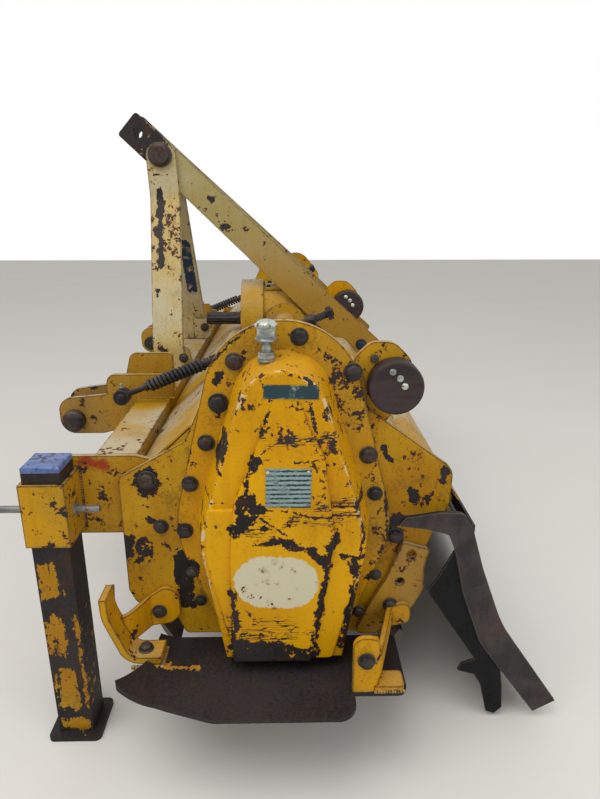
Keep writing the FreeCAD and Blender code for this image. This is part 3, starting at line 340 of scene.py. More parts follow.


# %% [markdown]
# The big dark places are not random: on this machine most of them follow where the crop slid over the
# gear case. They are drawn as strokes in the side view, each a line with a radius, all in millimetres,
# and the noise makes their outlines ragged. The tables hold only a few dozen such lines.

# %% Where the paint is gone
# Two wide rows at z 195 to 220 darken a patch along the bottom middle of the cover.
COVER_BARE = (
    (55, 516, 56, 489, 5), (56, 489, 61, 455, 14), (39, 474, 59, 462, 11), (61, 452, 75, 432, 8),
    (55, 516, 47, 538, 4), (45, 541, 41, 551, 7), (31, 590, 25, 609, 3), (25, 609, 16, 642, 3),
    (-41, 639, -47, 601, 2.6), (-47, 601, -53, 585, 2.6), (88, 577, 95, 551, 7), (95, 551, 103, 539, 8),
    (99, 527, 99, 527, 5), (33, 562, 8, 578, 1.2), (8, 578, -33, 584, 1.2), (-33, 584, -84, 582, 1.2),
    (38, 551, 19, 554, 1.1), (130, 468, 117, 478, 1.8), (117, 478, 77, 479, 1.8), (35, 475, -10, 470, 1.8),
    (-10, 470, -48, 459, 1.8), (-48, 459, -120, 459, 1.8), (35, 460, -6, 429, 2), (45, 414, 15, 417, 3.5),
    (13, 424, -25, 406, 7), (-41, 402, -64, 382, 7.4), (-64, 382, -81, 423, 7.5), (-71, 373, -65, 339, 5),
    (-65, 339, -56, 288, 5.2), (-56, 288, -48, 214, 5.3), (-107, 380, -116, 343, 9.5),
    (-116, 343, -112, 300, 10), (-112, 300, -99, 217, 10.4), (-94, 387, -127, 383, 4.7),
    (-113, 471, -132, 465, 5), (-127, 422, -119, 391, 3.5), (84, 328, 77, 290, 4.5), (77, 290, 80, 236, 4.6),
    (73, 220, -39, 206, 16), (73, 200, -35, 195, 12), (132, 453, 131, 386, 2), (131, 386, 129, 207, 2.2),
    (132, 250, 118, 240, 7), (125, 217, 116, 203, 6), (131, 444, 98, 439, 2.4), (78, 438, 78, 438, 6),
    (28, 443, 28, 443, 6), (-18, 549, -62, 552, 1.8), (-89, 340, -89, 340, 3),
)
# The cover's rim line: its dark bits are partly bare steel and partly painted shade of the gap at the rim, and
# its pale line is primer and partly a painted highlight.
COVER_LIP = (
    (0, 684, 35, 675, 3), (35, 675, 62, 643, 3), (62, 643, 84, 580, 3), (84, 580, 122, 448, 3),
    (122, 448, 128, 390, 3), (0, 684, -35, 675, 3), (-35, 675, -62, 643, 3), (-62, 643, -84, 580, 3),
    (-84, 580, -122, 448, 3), (-122, 448, -128, 390, 3), (128, 390, 104, 200, 2), (-128, 390, -104, 200, 2),
)
COVER_SCRATCHED = (
    (40, 470, -110, 464, 22), (70, 250, -45, 262, 26), (58, 425, 20, 432, 20), (30, 578, -80, 584, 8),
)
# The first rows of FLANGE_BARE and SIDE_BARE darken one band down the lower front of the flange and the side
# plate, at y 160 to 176 and z 236 to 322.
FLANGE_BARE = (
    (164, 322, 160, 236, 14), (151, 536, 156, 516, 4), (96, 665, 102, 649, 5), (175, 385, 175, 385, 14),
    (142, 612, 167, 510, 1.8), (167, 510, 186, 428, 1.9), (186, 428, 190, 283, 2), (-149, 593, -167, 471, 1.9),
    (-167, 471, -175, 377, 2), (-149, 295, -149, 295, 9), (108, 681, 48, 738, 2.4), (101, 600, 104, 585, 4),
)
SIDE_BARE = (
    (176, 322, 174, 236, 14), (-188, 398, -205, 396, 11), (-189, 236, -203, 228, 18), (-172, 200, -172, 200, 8),
    (-205, 274, -205, 274, 8), (-154, 289, -154, 289, 7), (-223, 319, -223, 319, 6), (267, 364, 269, 341, 11),
    (227, 402, 214, 394, 6), (250, 324, 250, 324, 6), (222, 242, 213, 217, 10), (158, 547, 150, 573, 3.5),
    (123, 624, 123, 624, 4), (226, 477, 226, 470, 19), (238, 354, 240, 345, 14), (-216, 450, -220, 438, 8),
    (-179, 509, -167, 531, 5), (-270, 490, -268, 470, 6),
)
UPRIGHT_BARE = (
    (321, 945, 319, 886, 9), (319, 886, 315, 763, 6), (330, 852, 327, 836, 5), (324, 706, 322, 692, 4.5),
    (300, 984, 334, 984, 2), (312, 566, 300, 560, 5),
)
STAY_BARE = ((404, 1112, 330, 1044, 34), (196, 930, 188, 923, 5), (60, 782, 52, 775, 4))
FAR_LABEL = ((288, 800, 284, 665, 15),)
LABEL = ((30, 347, -8, 345, 46), (48, 350, 30, 352, 30))

# %% [markdown]
# Every big painted solid gets its own mix: tones read off the photo, how chipped it is, and its drawn
# wear. The mast stands up into the weather and has gone chalky with rust spots, the stays turn orange
# towards the hood, and the hood itself is under a coat of dust.

# %% Paints
cover_paint = worn_paint("cover_paint", colour(217, 160, 0), colour(205, 147, 0), 0.1, 0.5, 0.35, COVER_BARE,
                         zones=COVER_SCRATCHED, sky=0.06, patch=(LABEL, PRIMER_AND_HIGHLIGHT), lip=COVER_LIP, warm=0.2)
flange_paint = worn_paint("flange_paint", YELLOW, AGED, 0.5, 1.9, 0.7, FLANGE_BARE, sky=0.3, warm=0.2)
side_paint = worn_paint("side_paint", colour(190, 146, 22), OCHRE, 0.65, 2.0, 0.8, SIDE_BARE)
plain_paint = worn_paint("plain_paint", colour(176, 134, 42), colour(156, 122, 60), 0.7, 1.8, 0.8)
bright_paint = worn_paint("bright_paint", YELLOW, AGED, 0.6, 2.2, 0.6, sky=0.25)
upright_paint = worn_paint("upright_paint", CREAM, colour(186, 164, 104), 0.45, 1.4, 0.5, UPRIGHT_BARE)
far_upright_paint = worn_paint("far_upright_paint", CREAM, colour(186, 164, 104), 0.45, 1.4, 0.5,
                               patch=(FAR_LABEL, colour(40, 54, 72)))
stay_paint = worn_paint("stay_paint", colour(170, 160, 118), colour(160, 144, 92), 0.15, 1.4, 0.4, STAY_BARE,
                        sky=0.3, low=(colour(160, 122, 44), 0.60, 0.95), warm=0.15)
beam_paint = worn_paint("beam_paint", AGED, colour(180, 156, 96), 0.5, 1.0, 0.8, sky=0.85)
hood_paint = worn_paint("hood_paint", AGED, colour(160, 136, 88), 0.5, 0.8, 0.9, sky=0.9)
gearbox_paint = worn_paint("gearbox_paint", AGED, colour(160, 134, 84), 0.4, 1.0, 0.9, sky=0.7)
arm_paint = worn_paint("arm_paint", OCHRE, AGED, 0.5, 1.8, 0.8,
                       smudge=(((330, 508, 298, 498, 9),), colour(152, 60, 30)))
rusty_paint = worn_paint("rusty_paint", colour(170, 112, 44), RUST, 0.9, 1.2, 0.9)
leg_paint = worn_paint("leg_paint", AGED, OCHRE, 5.2, 0.4, 0.8, keep=(
    (396, 346, 396, 296, 9), (382, 344, 380, 300, 11), (397, 236, 396, 184, 9), (383, 240, 381, 182, 11),
    (388, 134, 386, 70, 11), (372, 132, 370, 66, 11), (388, 26, 362, 22, 10), (352, 250, 350, 60, 3)))
skid_paint = worn_paint("skid_paint", OCHRE, AGED, 7.0, 0.2, 0.8, sky=0.1, above=True, rust=0.2, keep=(
    (250, 852, 232, 866, 8), (232, 866, 193, 870, 6), (193, 870, 142, 872, 4), (262, 880, 250, 893, 3)))

# %% [markdown]
# Bare steel that rubs through soil turns dark brown and smooth. Its colour comes from two noises and
# its roughness from a third, so highlights break up as they do on worn metal. Faces that look up hold
# dust, and corners are rubbed brighter.

# %% Bare metal
def bare_steel(name, dark, light, rust, rust_share=0.3, rough=0.5, metal=0.3, dust=0.3, shine=0.3,
               streak=(60.0, 8.0, 60.0), polish=None, inner=None):
    """Unpainted metal; polish is (axis y, axis z, inner radius, outer radius) of a bright outer part.

    inner is (x, colour) of what lies nearer to the middle than x.
    """
    f = Finish(name)
    broad = f.score(7.0, 5.0, 0.65)
    fine = f.score(120.0, 4.0, 0.6)
    drawn = f.score(1.0, 4.0, 0.6, 0.2, f.vector("MULTIPLY", f.place, streak))
    tone = f.mix(f.step(f.total((broad, 0.6), (drawn, 0.6)), -1.5, 1.5), dark, light)
    rusty = f.step(f.total((broad, 0.6), (fine, 0.6)), 1.6 - 3.0 * rust_share, 2.6 - 3.0 * rust_share)
    tone = f.mix(f.math("MULTIPLY", rusty, 0.85), tone, rust)
    if polish:
        side = f.vector("MULTIPLY", f.vector("SUBTRACT", f.place, (0.0, polish[0], polish[1])), (0.0, 1.0, 1.0))
        out = f.math("MULTIPLY_ADD", fine, 0.006, f.vector("LENGTH", side))
        worn = f.math("MULTIPLY", f.step(out, polish[2], polish[3]), f.step(broad, -2.0, 0.6))
        tone = f.mix(worn, tone, POLISHED)
    # Inner parts get a colour of their own: on the board ends a near black, which is black paint darkened
    # further as painted shade.
    if inner:
        across = f.math("ABSOLUTE", f.add("ShaderNodeSeparateXYZ", {0: f.place}).outputs["X"])
        tone = f.mix(f.step(across, inner[0], inner[0] - 0.001), tone, inner[1])
    rubbed = f.step(f.edges(0.003), 0.25, 0.9)
    tone = f.mix(f.math("MULTIPLY", rubbed, shine), tone, colour(150, 142, 132))
    top = f.math("MULTIPLY", f.facing((0.0, 0.0, 1.0), 0.4, 0.95), f.step(broad, -2.0, 1.4))
    tone = f.mix(f.math("MULTIPLY", top, dust), tone, colour(128, 116, 98))
    height = f.total((fine, 0.05), (drawn, 0.06), (broad, 0.03), (rusty, 0.25))
    spread = f.total((rusty, 0.2), (drawn, 0.03), (rubbed, -0.1), (1.0, rough))
    return f.set(color=tone, metal=metal, rough=spread, normal=f.bump(height, 0.5, 0.0012), specular=0.3)


dark_steel = bare_steel("dark_steel", colour(40, 36, 35), colour(64, 58, 55), RUST_DARK)
bolt_steel = bare_steel("bolt_steel", colour(40, 37, 37), colour(72, 66, 62), RUST_DARK, 0.35, 0.5, shine=0.2)
blue_steel = bare_steel("blue_steel", colour(24, 30, 52), colour(52, 62, 92), RUST_DARK, 0.1, 0.45)
disc_steel = bare_steel("disc_steel", colour(50, 42, 43), colour(66, 55, 54), RUST_DARK, 0.3, 0.55, dust=0.1)
hub_steel = bare_steel("hub_steel", colour(60, 52, 46), colour(88, 76, 64), RUST, 0.5, 0.6)
# The board ends' cheeks, inside x 0.818, are near black: black paint, darkened further as painted shade of the
# shaded space beside the side plates.
board_steel = bare_steel("board_steel", colour(52, 47, 47), colour(72, 66, 65), colour(84, 66, 56), 0.4, 0.6,
                         streak=(40.0, 40.0, 22.0), inner=(0.818, colour(13, 13, 16)))
# The trailing board's sheet is near black: dark steel, darkened further as painted shade of its shaded inside.
sheet_steel = bare_steel("sheet_steel", colour(14, 14, 17), colour(34, 31, 32), RUST_DARK, 0.3, 0.6)
blade_steel = bare_steel("blade_steel", colour(50, 42, 38), colour(88, 72, 60), RUST, 0.5, 0.45, 0.5,
                         polish=(0.0, 0.25, 0.19, 0.26))
rotor_steel = bare_steel("rotor_steel", colour(48, 40, 36), colour(84, 66, 52), RUST, 0.55, 0.65)
spring_steel = bare_steel("spring_steel", colour(34, 36, 42), colour(82, 82, 82), RUST_DARK, 0.2, 0.4)
grey_steel = bare_steel("grey_steel", colour(92, 94, 98), colour(138, 138, 134), RUST, 0.25, 0.4)
zinc = bare_steel("zinc", colour(112, 116, 112), colour(206, 214, 206), colour(110, 92, 66), 0.25, 0.32, 0.4)
blue_plastic = bare_steel("blue_plastic", colour(66, 86, 136), colour(104, 128, 184), colour(60, 56, 54),
                          0.12, 0.45, 0.0, 0.15, 0.5)

# %% [markdown]
# The finishes now go to the solids by name. Whatever isn't in the list keeps the plain paint of the
# machine, so no solid is left without a finish.

# %% Hand the finishes to the solids
NODE_FINISH = {
    cover_paint: "gear_case_cover",
    flange_paint: "gear_case_flange rear_stubs",
    side_paint: "side_plate_left side_plate_right",
    bright_paint: "leg_sleeves skid_lugs skid_brackets",
    upright_paint: "mast_upright_left",
    far_upright_paint: "mast_upright_right",
    stay_paint: "mast_stay_left mast_stay_right",
    beam_paint: "front_beam",
    hood_paint: "hood",
    gearbox_paint: "gearbox pto_guard",
    arm_paint: "leg_arms",
    rusty_paint: "stay_feet spring_posts",
    leg_paint: "leg_left leg_right",
    skid_paint: "skid_left skid_right",
    dark_steel: "mast_bolt hitch_pins pto_shaft hinge_rod",
    grey_steel: "leg_screws",
    hub_steel: "bearing_hubs bearing_cap",
    board_steel: "board_ends",
    sheet_steel: "board_sheet",
    blade_steel: "blades_left_hand blades_right_hand",
    rotor_steel: "rotor_tube stub_shafts",
    blue_plastic: "leg_cap_left leg_cap_right",
    zinc: "oil_breather",
    spring_steel: "spring_rods spring_coils",
}
finish_of = {node: material for material, names in NODE_FINISH.items() for node in names.split()}
for name, solid in nodes.items():
    solid.data.materials.clear()
    solid.data.materials.append(finish_of.get(name, plain_paint))
print(f"{len(finish_of)} solids have their own finish, the others the plain paint")

# %% [markdown]
# Most of the small pieces are turned or bolted things that come back many times. A few helpers keep
# their cells short: one selects a piece alone, one copies a master to a place, one joins copies, and
# one hands the finished piece to its body and its material slot and hides the solids that it stands for.

# %% Modelling helpers
def only(piece):
    """Selects this piece alone and makes it the active one."""
    bpy.ops.object.select_all(action="DESELECT")
    piece.select_set(True)
    bpy.context.view_layer.objects.active = piece


def apply(piece, kind, **settings):
    """Adds a modifier to the piece and applies it."""
    only(piece)
    modifier = piece.modifiers.new("step", kind)
    for key, value in settings.items():
        setattr(modifier, key, value)
    bpy.ops.object.modifier_apply(modifier=modifier.name)


def turned(rows, sides=24):
    """A closed turned piece about +Z from rows (radius, height) in mm, its base ring first."""
    radius, height = rows[0]
    bpy.ops.object.select_all(action="DESELECT")
    bpy.ops.mesh.primitive_circle_add(vertices=sides, radius=radius / 1000, fill_type="NGON",
                                      location=(0, 0, height / 1000))
    bpy.ops.object.transform_apply()
    bpy.ops.object.mode_set(mode="EDIT")
    bpy.ops.mesh.select_all(action="SELECT")
    for wider, higher in rows[1:]:
        bpy.ops.mesh.extrude_region_move(TRANSFORM_OT_translate={"value": (0, 0, (higher - height) / 1000)})
        share = wider / radius
        bpy.ops.transform.resize(value=(share, share, 1), center_override=(0, 0, higher / 1000))
        radius, height = wider, higher
    bpy.ops.mesh.select_all(action="SELECT")
    bpy.ops.mesh.normals_make_consistent(inside=False)
    bpy.ops.object.mode_set(mode="OBJECT")
    return bpy.context.object


def join(name, parts):
    """One piece of all parts, smooth where it bends by less than 35 degrees."""
    only(parts[0])
    for part in parts:
        part.select_set(True)
    if len(parts) > 1:
        bpy.ops.object.join()
    whole = bpy.context.object
    whole.name = name
    whole.data.name = name
    bpy.ops.object.shade_smooth_by_angle(angle=math.radians(35))
    return whole


def stand(place, direction, turn=0.0, size=1.0):
    """Matrix that puts a master, which stands on +Z, at place in mm with its top along direction."""
    facing = Vector(direction).to_track_quat("Z", "Y").to_matrix().to_4x4()
    spin = Matrix.Rotation(turn, 4, "Z") @ Matrix.Scale(size, 4)
    return Matrix.Translation(Vector(place) / 1000) @ facing @ spin


def copy(master, matrix):
    """A copy of the master with its own mesh, at matrix, with its transform applied."""
    only(master)
    bpy.ops.object.duplicate(linked=False)
    twin = bpy.context.object
    twin.matrix_world = matrix
    bpy.ops.object.transform_apply()
    return twin


def twins(master, matrix):
    """A copy at matrix and its mirror image on the machine's other side."""
    near = copy(master, matrix)
    far = copy(master, Matrix.Scale(-1, 4, (1, 0, 0)) @ matrix)
    bpy.ops.object.mode_set(mode="EDIT")
    bpy.ops.mesh.select_all(action="SELECT")
    bpy.ops.mesh.normals_make_consistent(inside=False)
    bpy.ops.object.mode_set(mode="OBJECT")
    return [near, far]


def drop(*masters):
    """Removes masters that are no longer needed."""
    bpy.ops.object.select_all(action="DESELECT")
    for master in masters:
        master.select_set(True)
    bpy.ops.object.delete()


def hand_over(piece, material, body, stands_for=()):
    """Gives the piece its finish, its body and its slot, and hides the solids that it stands for."""
    piece.data.materials.clear()
    piece.data.materials.append(material)
    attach(piece, body)
    if stands_for:
        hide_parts(*stands_for)
    print(f"{piece.name}: {len(piece.data.polygons)} faces on {body}")


# %% [markdown]
# A hexagon bolt has a washer and a head whose six corners are chamfered by a cone. So a hexagonal
# prism is cut by a turned cone with a Boolean, and a thin turned washer goes under it. One master in
# the size of an M12 bolt is enough: its copies are scaled to the size that the photo shows.

# %% Bolt master
BOLT_R = 11.0
bolt = turned([(9.6, 1.4), (9.6, 8.8)], 6)
cone = turned([(12.0, 0.0), (12.0, 5.8), (6.8, 8.9)], 32)
apply(bolt, "BOOLEAN", object=cone, operation="INTERSECT", solver="EXACT")
apply(bolt, "BEVEL", width=0.0004, segments=1, limit_method="ANGLE", angle_limit=math.radians(40))
washer = turned([(11.6, 0.0), (12.0, 0.5), (12.0, 1.6), (11.4, 2.1)], 28)
bolt = join("bolt_master", [bolt, washer])
drop(cone)
print(f"bolt master: {len(bolt.data.polygons)} faces")

# %% [markdown]
# The bolts are listed by the face they sit on: rows hold the place on that face and the washer's
# radius. Real bolt heads never line up, so each one gets its own turn from a seeded generator. All
# bolts of one face become one piece.

# %% Bolts
random.seed(7)


def bolts(name, rows, material=bolt_steel, body="frame", mirror=False):
    """Bolts from rows (x, y, z, radius, direction) in mm as one piece, mirrored too if asked."""
    parts = []
    for x, y, z, radius, direction in rows:
        matrix = stand((x, y, z), direction, random.uniform(0, 1), radius / BOLT_R)
        parts += twins(bolt, matrix) if mirror else [copy(bolt, matrix)]
    hand_over(join(name, parts), material, body)


LEFT, RIGHT, AHEAD, UP = (-1, 0, 0), (1, 0, 0), (0, 1, 0), (0, 0, 1)
CASE_BOLTS = (
    (-26, 720, 13), (74, 682, 13), (101, 615, 15), (123, 548, 13), (153, 476, 13), (166, 390, 13),
    (158, 309, 10), (146, 252, 10), (-109, 664, 14), (-138, 525, 14), (-151, 456, 12), (-158, 300, 10),
    (-130, 225, 10),
)
bolts("case_bolts", [(-800, y, z, r, LEFT) for y, z, r in CASE_BOLTS])
bolts("side_bolts", [(-786, 209, 390, 12, LEFT), (-786, 226, 477, 15, LEFT), (-786, -191, 369, 14, LEFT),
                     (-796, 221, 227, 12, LEFT), (-796, -187, 236, 12, LEFT), (-930, -129, 232, 13, LEFT),
                     (-848, 236, 190, 12, UP)], mirror=True)
bolts("lug_bolts", [(-188, 256, 542, 12, RIGHT), (-212, 256, 542, 11, LEFT)], mirror=True)
bolts("stay_bolts", [(-112, -205, 552, 14, LEFT), (-90, -205, 552, 12, RIGHT)], blue_steel, mirror=True)
bolts("gearbox_bolts", [(46 * math.cos(a), 118, 605 + 46 * math.sin(a), 8, AHEAD)
                        for a in [math.radians(60 * i + 30) for i in range(6)]]
      + [(x, y, 586, 9, UP) for x in (-88, 88) for y in (-96, 94)])
bolts("cap_bolts", [(794, 61 * math.cos(a), 250 + 61 * math.sin(a), 9, RIGHT)
                    for a in [math.radians(60 * i) for i in range(6)]])

# %% [markdown]
# Each blade is held on its flange by two bolts, with the nuts on the other side. They turn with the
# rotor, so they ride on it. The blades stand in a spiral: every flange is turned ten degrees further,
# and the right-hand and left-hand blades alternate every sixty degrees.

# %% Blade bolts
ROTOR_Z = 250
FLANGES = 7
FLANGE_PITCH = 220
FLANGE_TWIST = 10
BLADES = 6
parts = []
for i in range(FLANGES):
    for k in range(BLADES):
        hand = 1 if k % 2 == 0 else -1
        turn = math.radians(180 + i * FLANGE_TWIST + k * 360 / BLADES)
        for radius in (68, 88):
            y = -radius * math.sin(turn)
            z = ROTOR_Z + radius * math.cos(turn)
            x = (i - FLANGES // 2) * FLANGE_PITCH
            for face, reach in ((hand, 13), (-hand, 5)):
                parts.append(copy(bolt, stand((x + face * reach, y, z), (face, 0, 0), radius, 0.62)))
hand_over(join("blade_bolts", parts), bolt_steel, "rotor")

# %% [markdown]
# The oil breather on top of the gear case is the brightest small thing in the picture: a zinc cap with
# two rims over a thin neck and a hexagonal base. It is turned from its profile, and the base is the
# same kind of ring with six sides. It stands for the plain solid.

# %% Oil breather
cap = turned([(9.5, -90), (9.5, -58), (7.4, -52), (7.0, -40), (6.6, -31), (16.6, -31), (17.0, -29.6),
              (16.2, -28), (14.2, -26.6), (13.6, -20), (13.9, -12.5), (16.6, -11), (17.0, -9),
              (16.2, -7), (13.0, -3), (7.0, -0.8), (1.0, 0.0)], 40)
base = turned([(12.6, -60), (13.4, -59), (13.4, -50), (12.2, -48.6)], 6)
collar = turned([(13.6, -63), (14.2, -62), (14.2, -60.2), (13.6, -59.6)], 32)
breather = join("breather", [cap, base, collar])
breather.matrix_world = stand((-830, 23, 753), UP, 0.4)
bpy.ops.object.transform_apply()
hand_over(breather, zinc, "frame", ["oil_breather"])

# %% [markdown]
# The spring rods run from the hitch back over the axle tube. Each is a rod with a collar on both ends
# of its coil, a flattened bar, a tapered fitting and a threaded end, all on one axis. The turned parts
# come from one profile, the flat bar from a cube, and the eye is a short cylinder across.

# %% Spring rods
SPRING_FRONT = Vector((-463.0, 347.0, 520.0))
SPRING_RUN = Vector((0.0, -452.0, 182.0))
thread = [(8.6 if i % 2 else 7.4, 447 + 2.2 * i) for i in range(18)]
shaft = turned([(6.0, 0), (6.0, 53), (9.5, 54), (9.5, 61), (6.4, 62), (6.4, 192), (9.5, 193),
                (10.2, 198), (9.5, 203), (6.2, 204), (6.2, 404), (7.0, 406), (12.5, 436), (13.0, 442),
                (9.0, 445)] + thread, 20)
nut = turned([(13.4, 470), (14.2, 471), (14.2, 481), (13.2, 482)], 6)
bpy.ops.object.select_all(action="DESELECT")
bpy.ops.mesh.primitive_cube_add(size=1, location=(0, 0, 0.282))
bar = bpy.context.object
bar.scale = (0.007, 0.021, 0.150)
bpy.ops.object.transform_apply()
apply(bar, "BEVEL", width=0.0022, segments=2)
eye = turned([(16.0, -13), (17.0, -12), (17.0, 12), (16.0, 13), (9.0, 13), (9.0, 16), (7.5, 17)], 32)
eye.matrix_world = Matrix.Rotation(math.radians(-90), 4, "Y")
only(eye)
bpy.ops.object.transform_apply()
rod_master = join("rod_master", [shaft, nut, bar, eye])
rods = join("spring_rod_pair", twins(rod_master, stand(SPRING_FRONT, SPRING_RUN)))
drop(rod_master)
hand_over(rods, bolt_steel, "frame", ["spring_rods"])

# %% [markdown]
# The coil springs are closed up and show about fourteen turns. A small ring is swept into a true helix
# by the Screw modifier, and the two open ends are filled. The mirrored copy winds the other way, which
# is fine for a pair.

# %% Coil springs
COIL_TURNS = 14
bpy.ops.object.select_all(action="DESELECT")
bpy.ops.mesh.primitive_circle_add(vertices=10, radius=0.0036, location=(0.0110, 0, 0),
                                  rotation=(math.radians(90), 0, 0))
coil = bpy.context.object
bpy.ops.object.transform_apply()
apply(coil, "SCREW", axis="Z", angle=math.radians(360 * COIL_TURNS), screw_offset=0.128,
      steps=24 * COIL_TURNS, render_steps=24 * COIL_TURNS, use_merge_vertices=False)
bpy.ops.object.mode_set(mode="EDIT")
bpy.ops.mesh.select_all(action="SELECT")
bpy.ops.mesh.fill_holes(sides=12)
bpy.ops.mesh.normals_make_consistent(inside=False)
bpy.ops.object.mode_set(mode="OBJECT")
coil_start = SPRING_FRONT + SPRING_RUN.normalized() * 63
coils = join("coil_spring_pair", twins(coil, stand(coil_start, SPRING_RUN)))
drop(coil)
hand_over(coils, spring_steel, "frame", ["spring_coils"])

# %% [markdown]
# The two rear discs are dark castings with a soft edge and three pale rivets each. A turned shell
# covers each plain disc by a few tenths of a millimetre, with a shallow dish in its face. The rivets
# are small domes.

# %% Rear discs
shell = turned([(43.3, 0), (43.5, 1), (43.5, 27), (42.2, 29.6), (40.0, 30.6), (37.0, 30.4), (35.0, 30.1)], 64)
discs = [copy(shell, stand((x, -178, 638), LEFT)) for x in (-776, 18)]
hand_over(join("disc_shells", discs), disc_steel, "frame")
rivet = turned([(5.6, 0), (5.4, 1.4), (4.0, 2.6), (1.6, 3.1)], 16)
rivets = []
for x in (-806.2, -12.2):
    for y, z in ((-170, 665), (-182, 655), (-190, 642)):
        rivets.append(copy(rivet, stand((x, y, z), LEFT)))
hand_over(join("disc_rivets", rivets), zinc, "frame")
drop(shell)

# %% [markdown]
# The lower hitch pins end in domed heads, polished by the tractor's links. The big bolt in the mast
# gets its hexagonal nut on the right, and the lobed plate behind the gear case a small ring nut. All
# are turned, the nuts with six sides.

# %% Pin heads and nuts
dome = turned([(22.8, -1), (23.4, 0.4), (22.0, 3.0), (17.0, 6.2), (9.0, 8.2), (2.0, 8.8)], 40)
domes = join("pin_domes", twins(dome, stand((-447, 465, 457), LEFT)))
hand_over(domes, bolt_steel, "frame")
hexagon = turned([(18.6, 0), (20.0, 1.6), (20.0, 14.6), (18.4, 16.4), (11, 16.6), (10.4, 21), (9, 22)], 6)
ring = turned([(6.6, 0), (7.4, 0.8), (7.4, 5.2), (6.4, 6.0), (4.4, 6.0), (4.2, 9)], 6)
nuts = [copy(hexagon, stand((51, 313.3, 1030.6), RIGHT)), copy(ring, stand((-776, -145, 680), LEFT))]
hand_over(join("large_nuts", nuts), bolt_steel, "frame")
drop(dome, hexagon, ring)

# %% [markdown]
# Farm machines are greased every day, so nipples stand on the bearing cap, the gearbox and the eyes of
# the spring rods. A grease nipple is a small hexagon with a waisted ball on top. One is modelled and
# copied.

# %% Grease nipples
body_hex = turned([(4.2, 0), (4.6, 0.5), (4.6, 4.0), (4.0, 4.6)], 6)
ball = turned([(2.6, 4.4), (2.4, 7.0), (1.8, 8.2), (2.9, 10.0), (2.7, 11.6), (1.2, 12.4)], 14)
nipple = join("nipple_master", [body_hex, ball])
nipples = [copy(nipple, stand(place, direction)) for place, direction in (
    ((820, 0, 250), RIGHT), ((-24, 12, 704), UP))]
nipples += twins(nipple, stand((-463, 347, 537), UP))
hand_over(join("grease_nipples", nipples), zinc, "frame")
drop(nipple)

# %% [markdown]
# The gearbox is closed by a cast lid with a filler plug and a dipstick ring. The lid starts as a box
# whose top face is inset and raised, and its corners are bevelled. The plug is turned and has a square
# key on top.

# %% Gearbox lid
bpy.ops.object.select_all(action="DESELECT")
bpy.ops.mesh.primitive_cube_add(size=1, location=(0, -0.010, 0.694))
lid = bpy.context.object
lid.scale = (0.112, 0.128, 0.009)
bpy.ops.object.transform_apply()
bpy.ops.object.mode_set(mode="EDIT")
bpy.ops.mesh.select_mode(type="FACE")
bpy.ops.mesh.select_all(action="DESELECT")
bpy.ops.object.mode_set(mode="OBJECT")
lid.data.polygons[max(range(6), key=lambda i: lid.data.polygons[i].center.z)].select = True
bpy.ops.object.mode_set(mode="EDIT")
bpy.ops.mesh.inset(thickness=0.018)
bpy.ops.mesh.extrude_region_move(TRANSFORM_OT_translate={"value": (0, 0, 0.006)})
bpy.ops.object.mode_set(mode="OBJECT")
apply(lid, "BEVEL", width=0.004, segments=3, limit_method="ANGLE", angle_limit=math.radians(30))
plug = turned([(12.0, 0), (13.4, 1.0), (13.4, 6.0), (12.0, 7.4), (7.0, 7.6), (7.0, 15.0), (6.0, 16.0)], 6)
plug_piece = copy(plug, stand((18, -30, 704), UP))
lid = join("gearbox_lid", [lid, plug_piece])
hand_over(lid, gearbox_paint, "frame")
bolts("lid_bolts", [(x, y, 698.5, 7, UP) for x in (-46, 46) for y in (-64, 44)])
drop(plug)

# %% [markdown]
# Weld seams hold the plates together and catch the light as small ripples. A seam is a row of
# overlapping squashed drops: one drop, an Array modifier along the seam, and copies for every seam.
# The rows give both ends in millimetres and the bead's radius.

# %% Weld seams
bpy.ops.object.select_all(action="DESELECT")
bpy.ops.mesh.primitive_ico_sphere_add(subdivisions=2, radius=1.0)
bead = bpy.context.object
bead.scale = (1.0, 1.0, 0.72)
bpy.ops.object.transform_apply()
SEAMS = (
    (-431, 245, 505, -431, 320, 505, 4.5), (-419, 245, 505, -419, 320, 505, 4.0),
    (-361, 256, 505, -361, 320, 505, 4.5), (-349, 256, 505, -349, 320, 505, 4.0),
    (-212, 254, 505, -212, 320, 505, 4.5), (-188, 254, 505, -188, 318, 505, 4.5),
    (-776, 340, 388, -776, 340, 496, 4.5), (-776, 412, 388, -776, 412, 496, 4.5),
    (-826, 208, 171, -826, 254, 171, 4.5), (-870, 208, 171, -870, 254, 171, 4.5),
    (-826, 206, 172, -870, 206, 172, 4.5), (-894, -148, 171, -894, -190, 171, 4.0),
    (-930, -146, 171, -930, -190, 171, 4.0), (-100, -122, 572, -100, -158, 572, 4.5),
    (-90, -122, 572, -90, -158, 572, 4.5), (-766, 253, 440, -700, 253, 440, 4.0),
    (-826, 288, 300, -826, 290, 272, 3.5),
)
parts = []
for x0, y0, z0, x1, y1, z1, radius in SEAMS:
    run = Vector((x1 - x0, y1 - y0, z1 - z0))
    drops = max(2, round(run.length / radius))
    seam = copy(bead, Matrix.Scale(radius / 1000, 4))
    apply(seam, "ARRAY", count=drops, use_relative_offset=False, use_constant_offset=True,
          constant_offset_displace=(run.length / 1000 / (drops - 1), 0, 0))
    along = run.to_track_quat("X", "Z").to_matrix().to_4x4()
    seam.matrix_world = Matrix.Translation(Vector((x0, y0, z0)) / 1000) @ along
    only(seam)
    bpy.ops.object.transform_apply()
    parts += twins(seam, Matrix.Identity(4))
    drop(seam)
hand_over(join("weld_seams", parts), plain_paint, "frame")
drop(bead)

# %% [markdown]
# At its front bend the hood stands a little above the side plates' corners. A flat strip is welded in
# there from inside, so that no soil flies out of the gap. It is a bevelled bar along the bend's slope,
# one at each end of the hood.

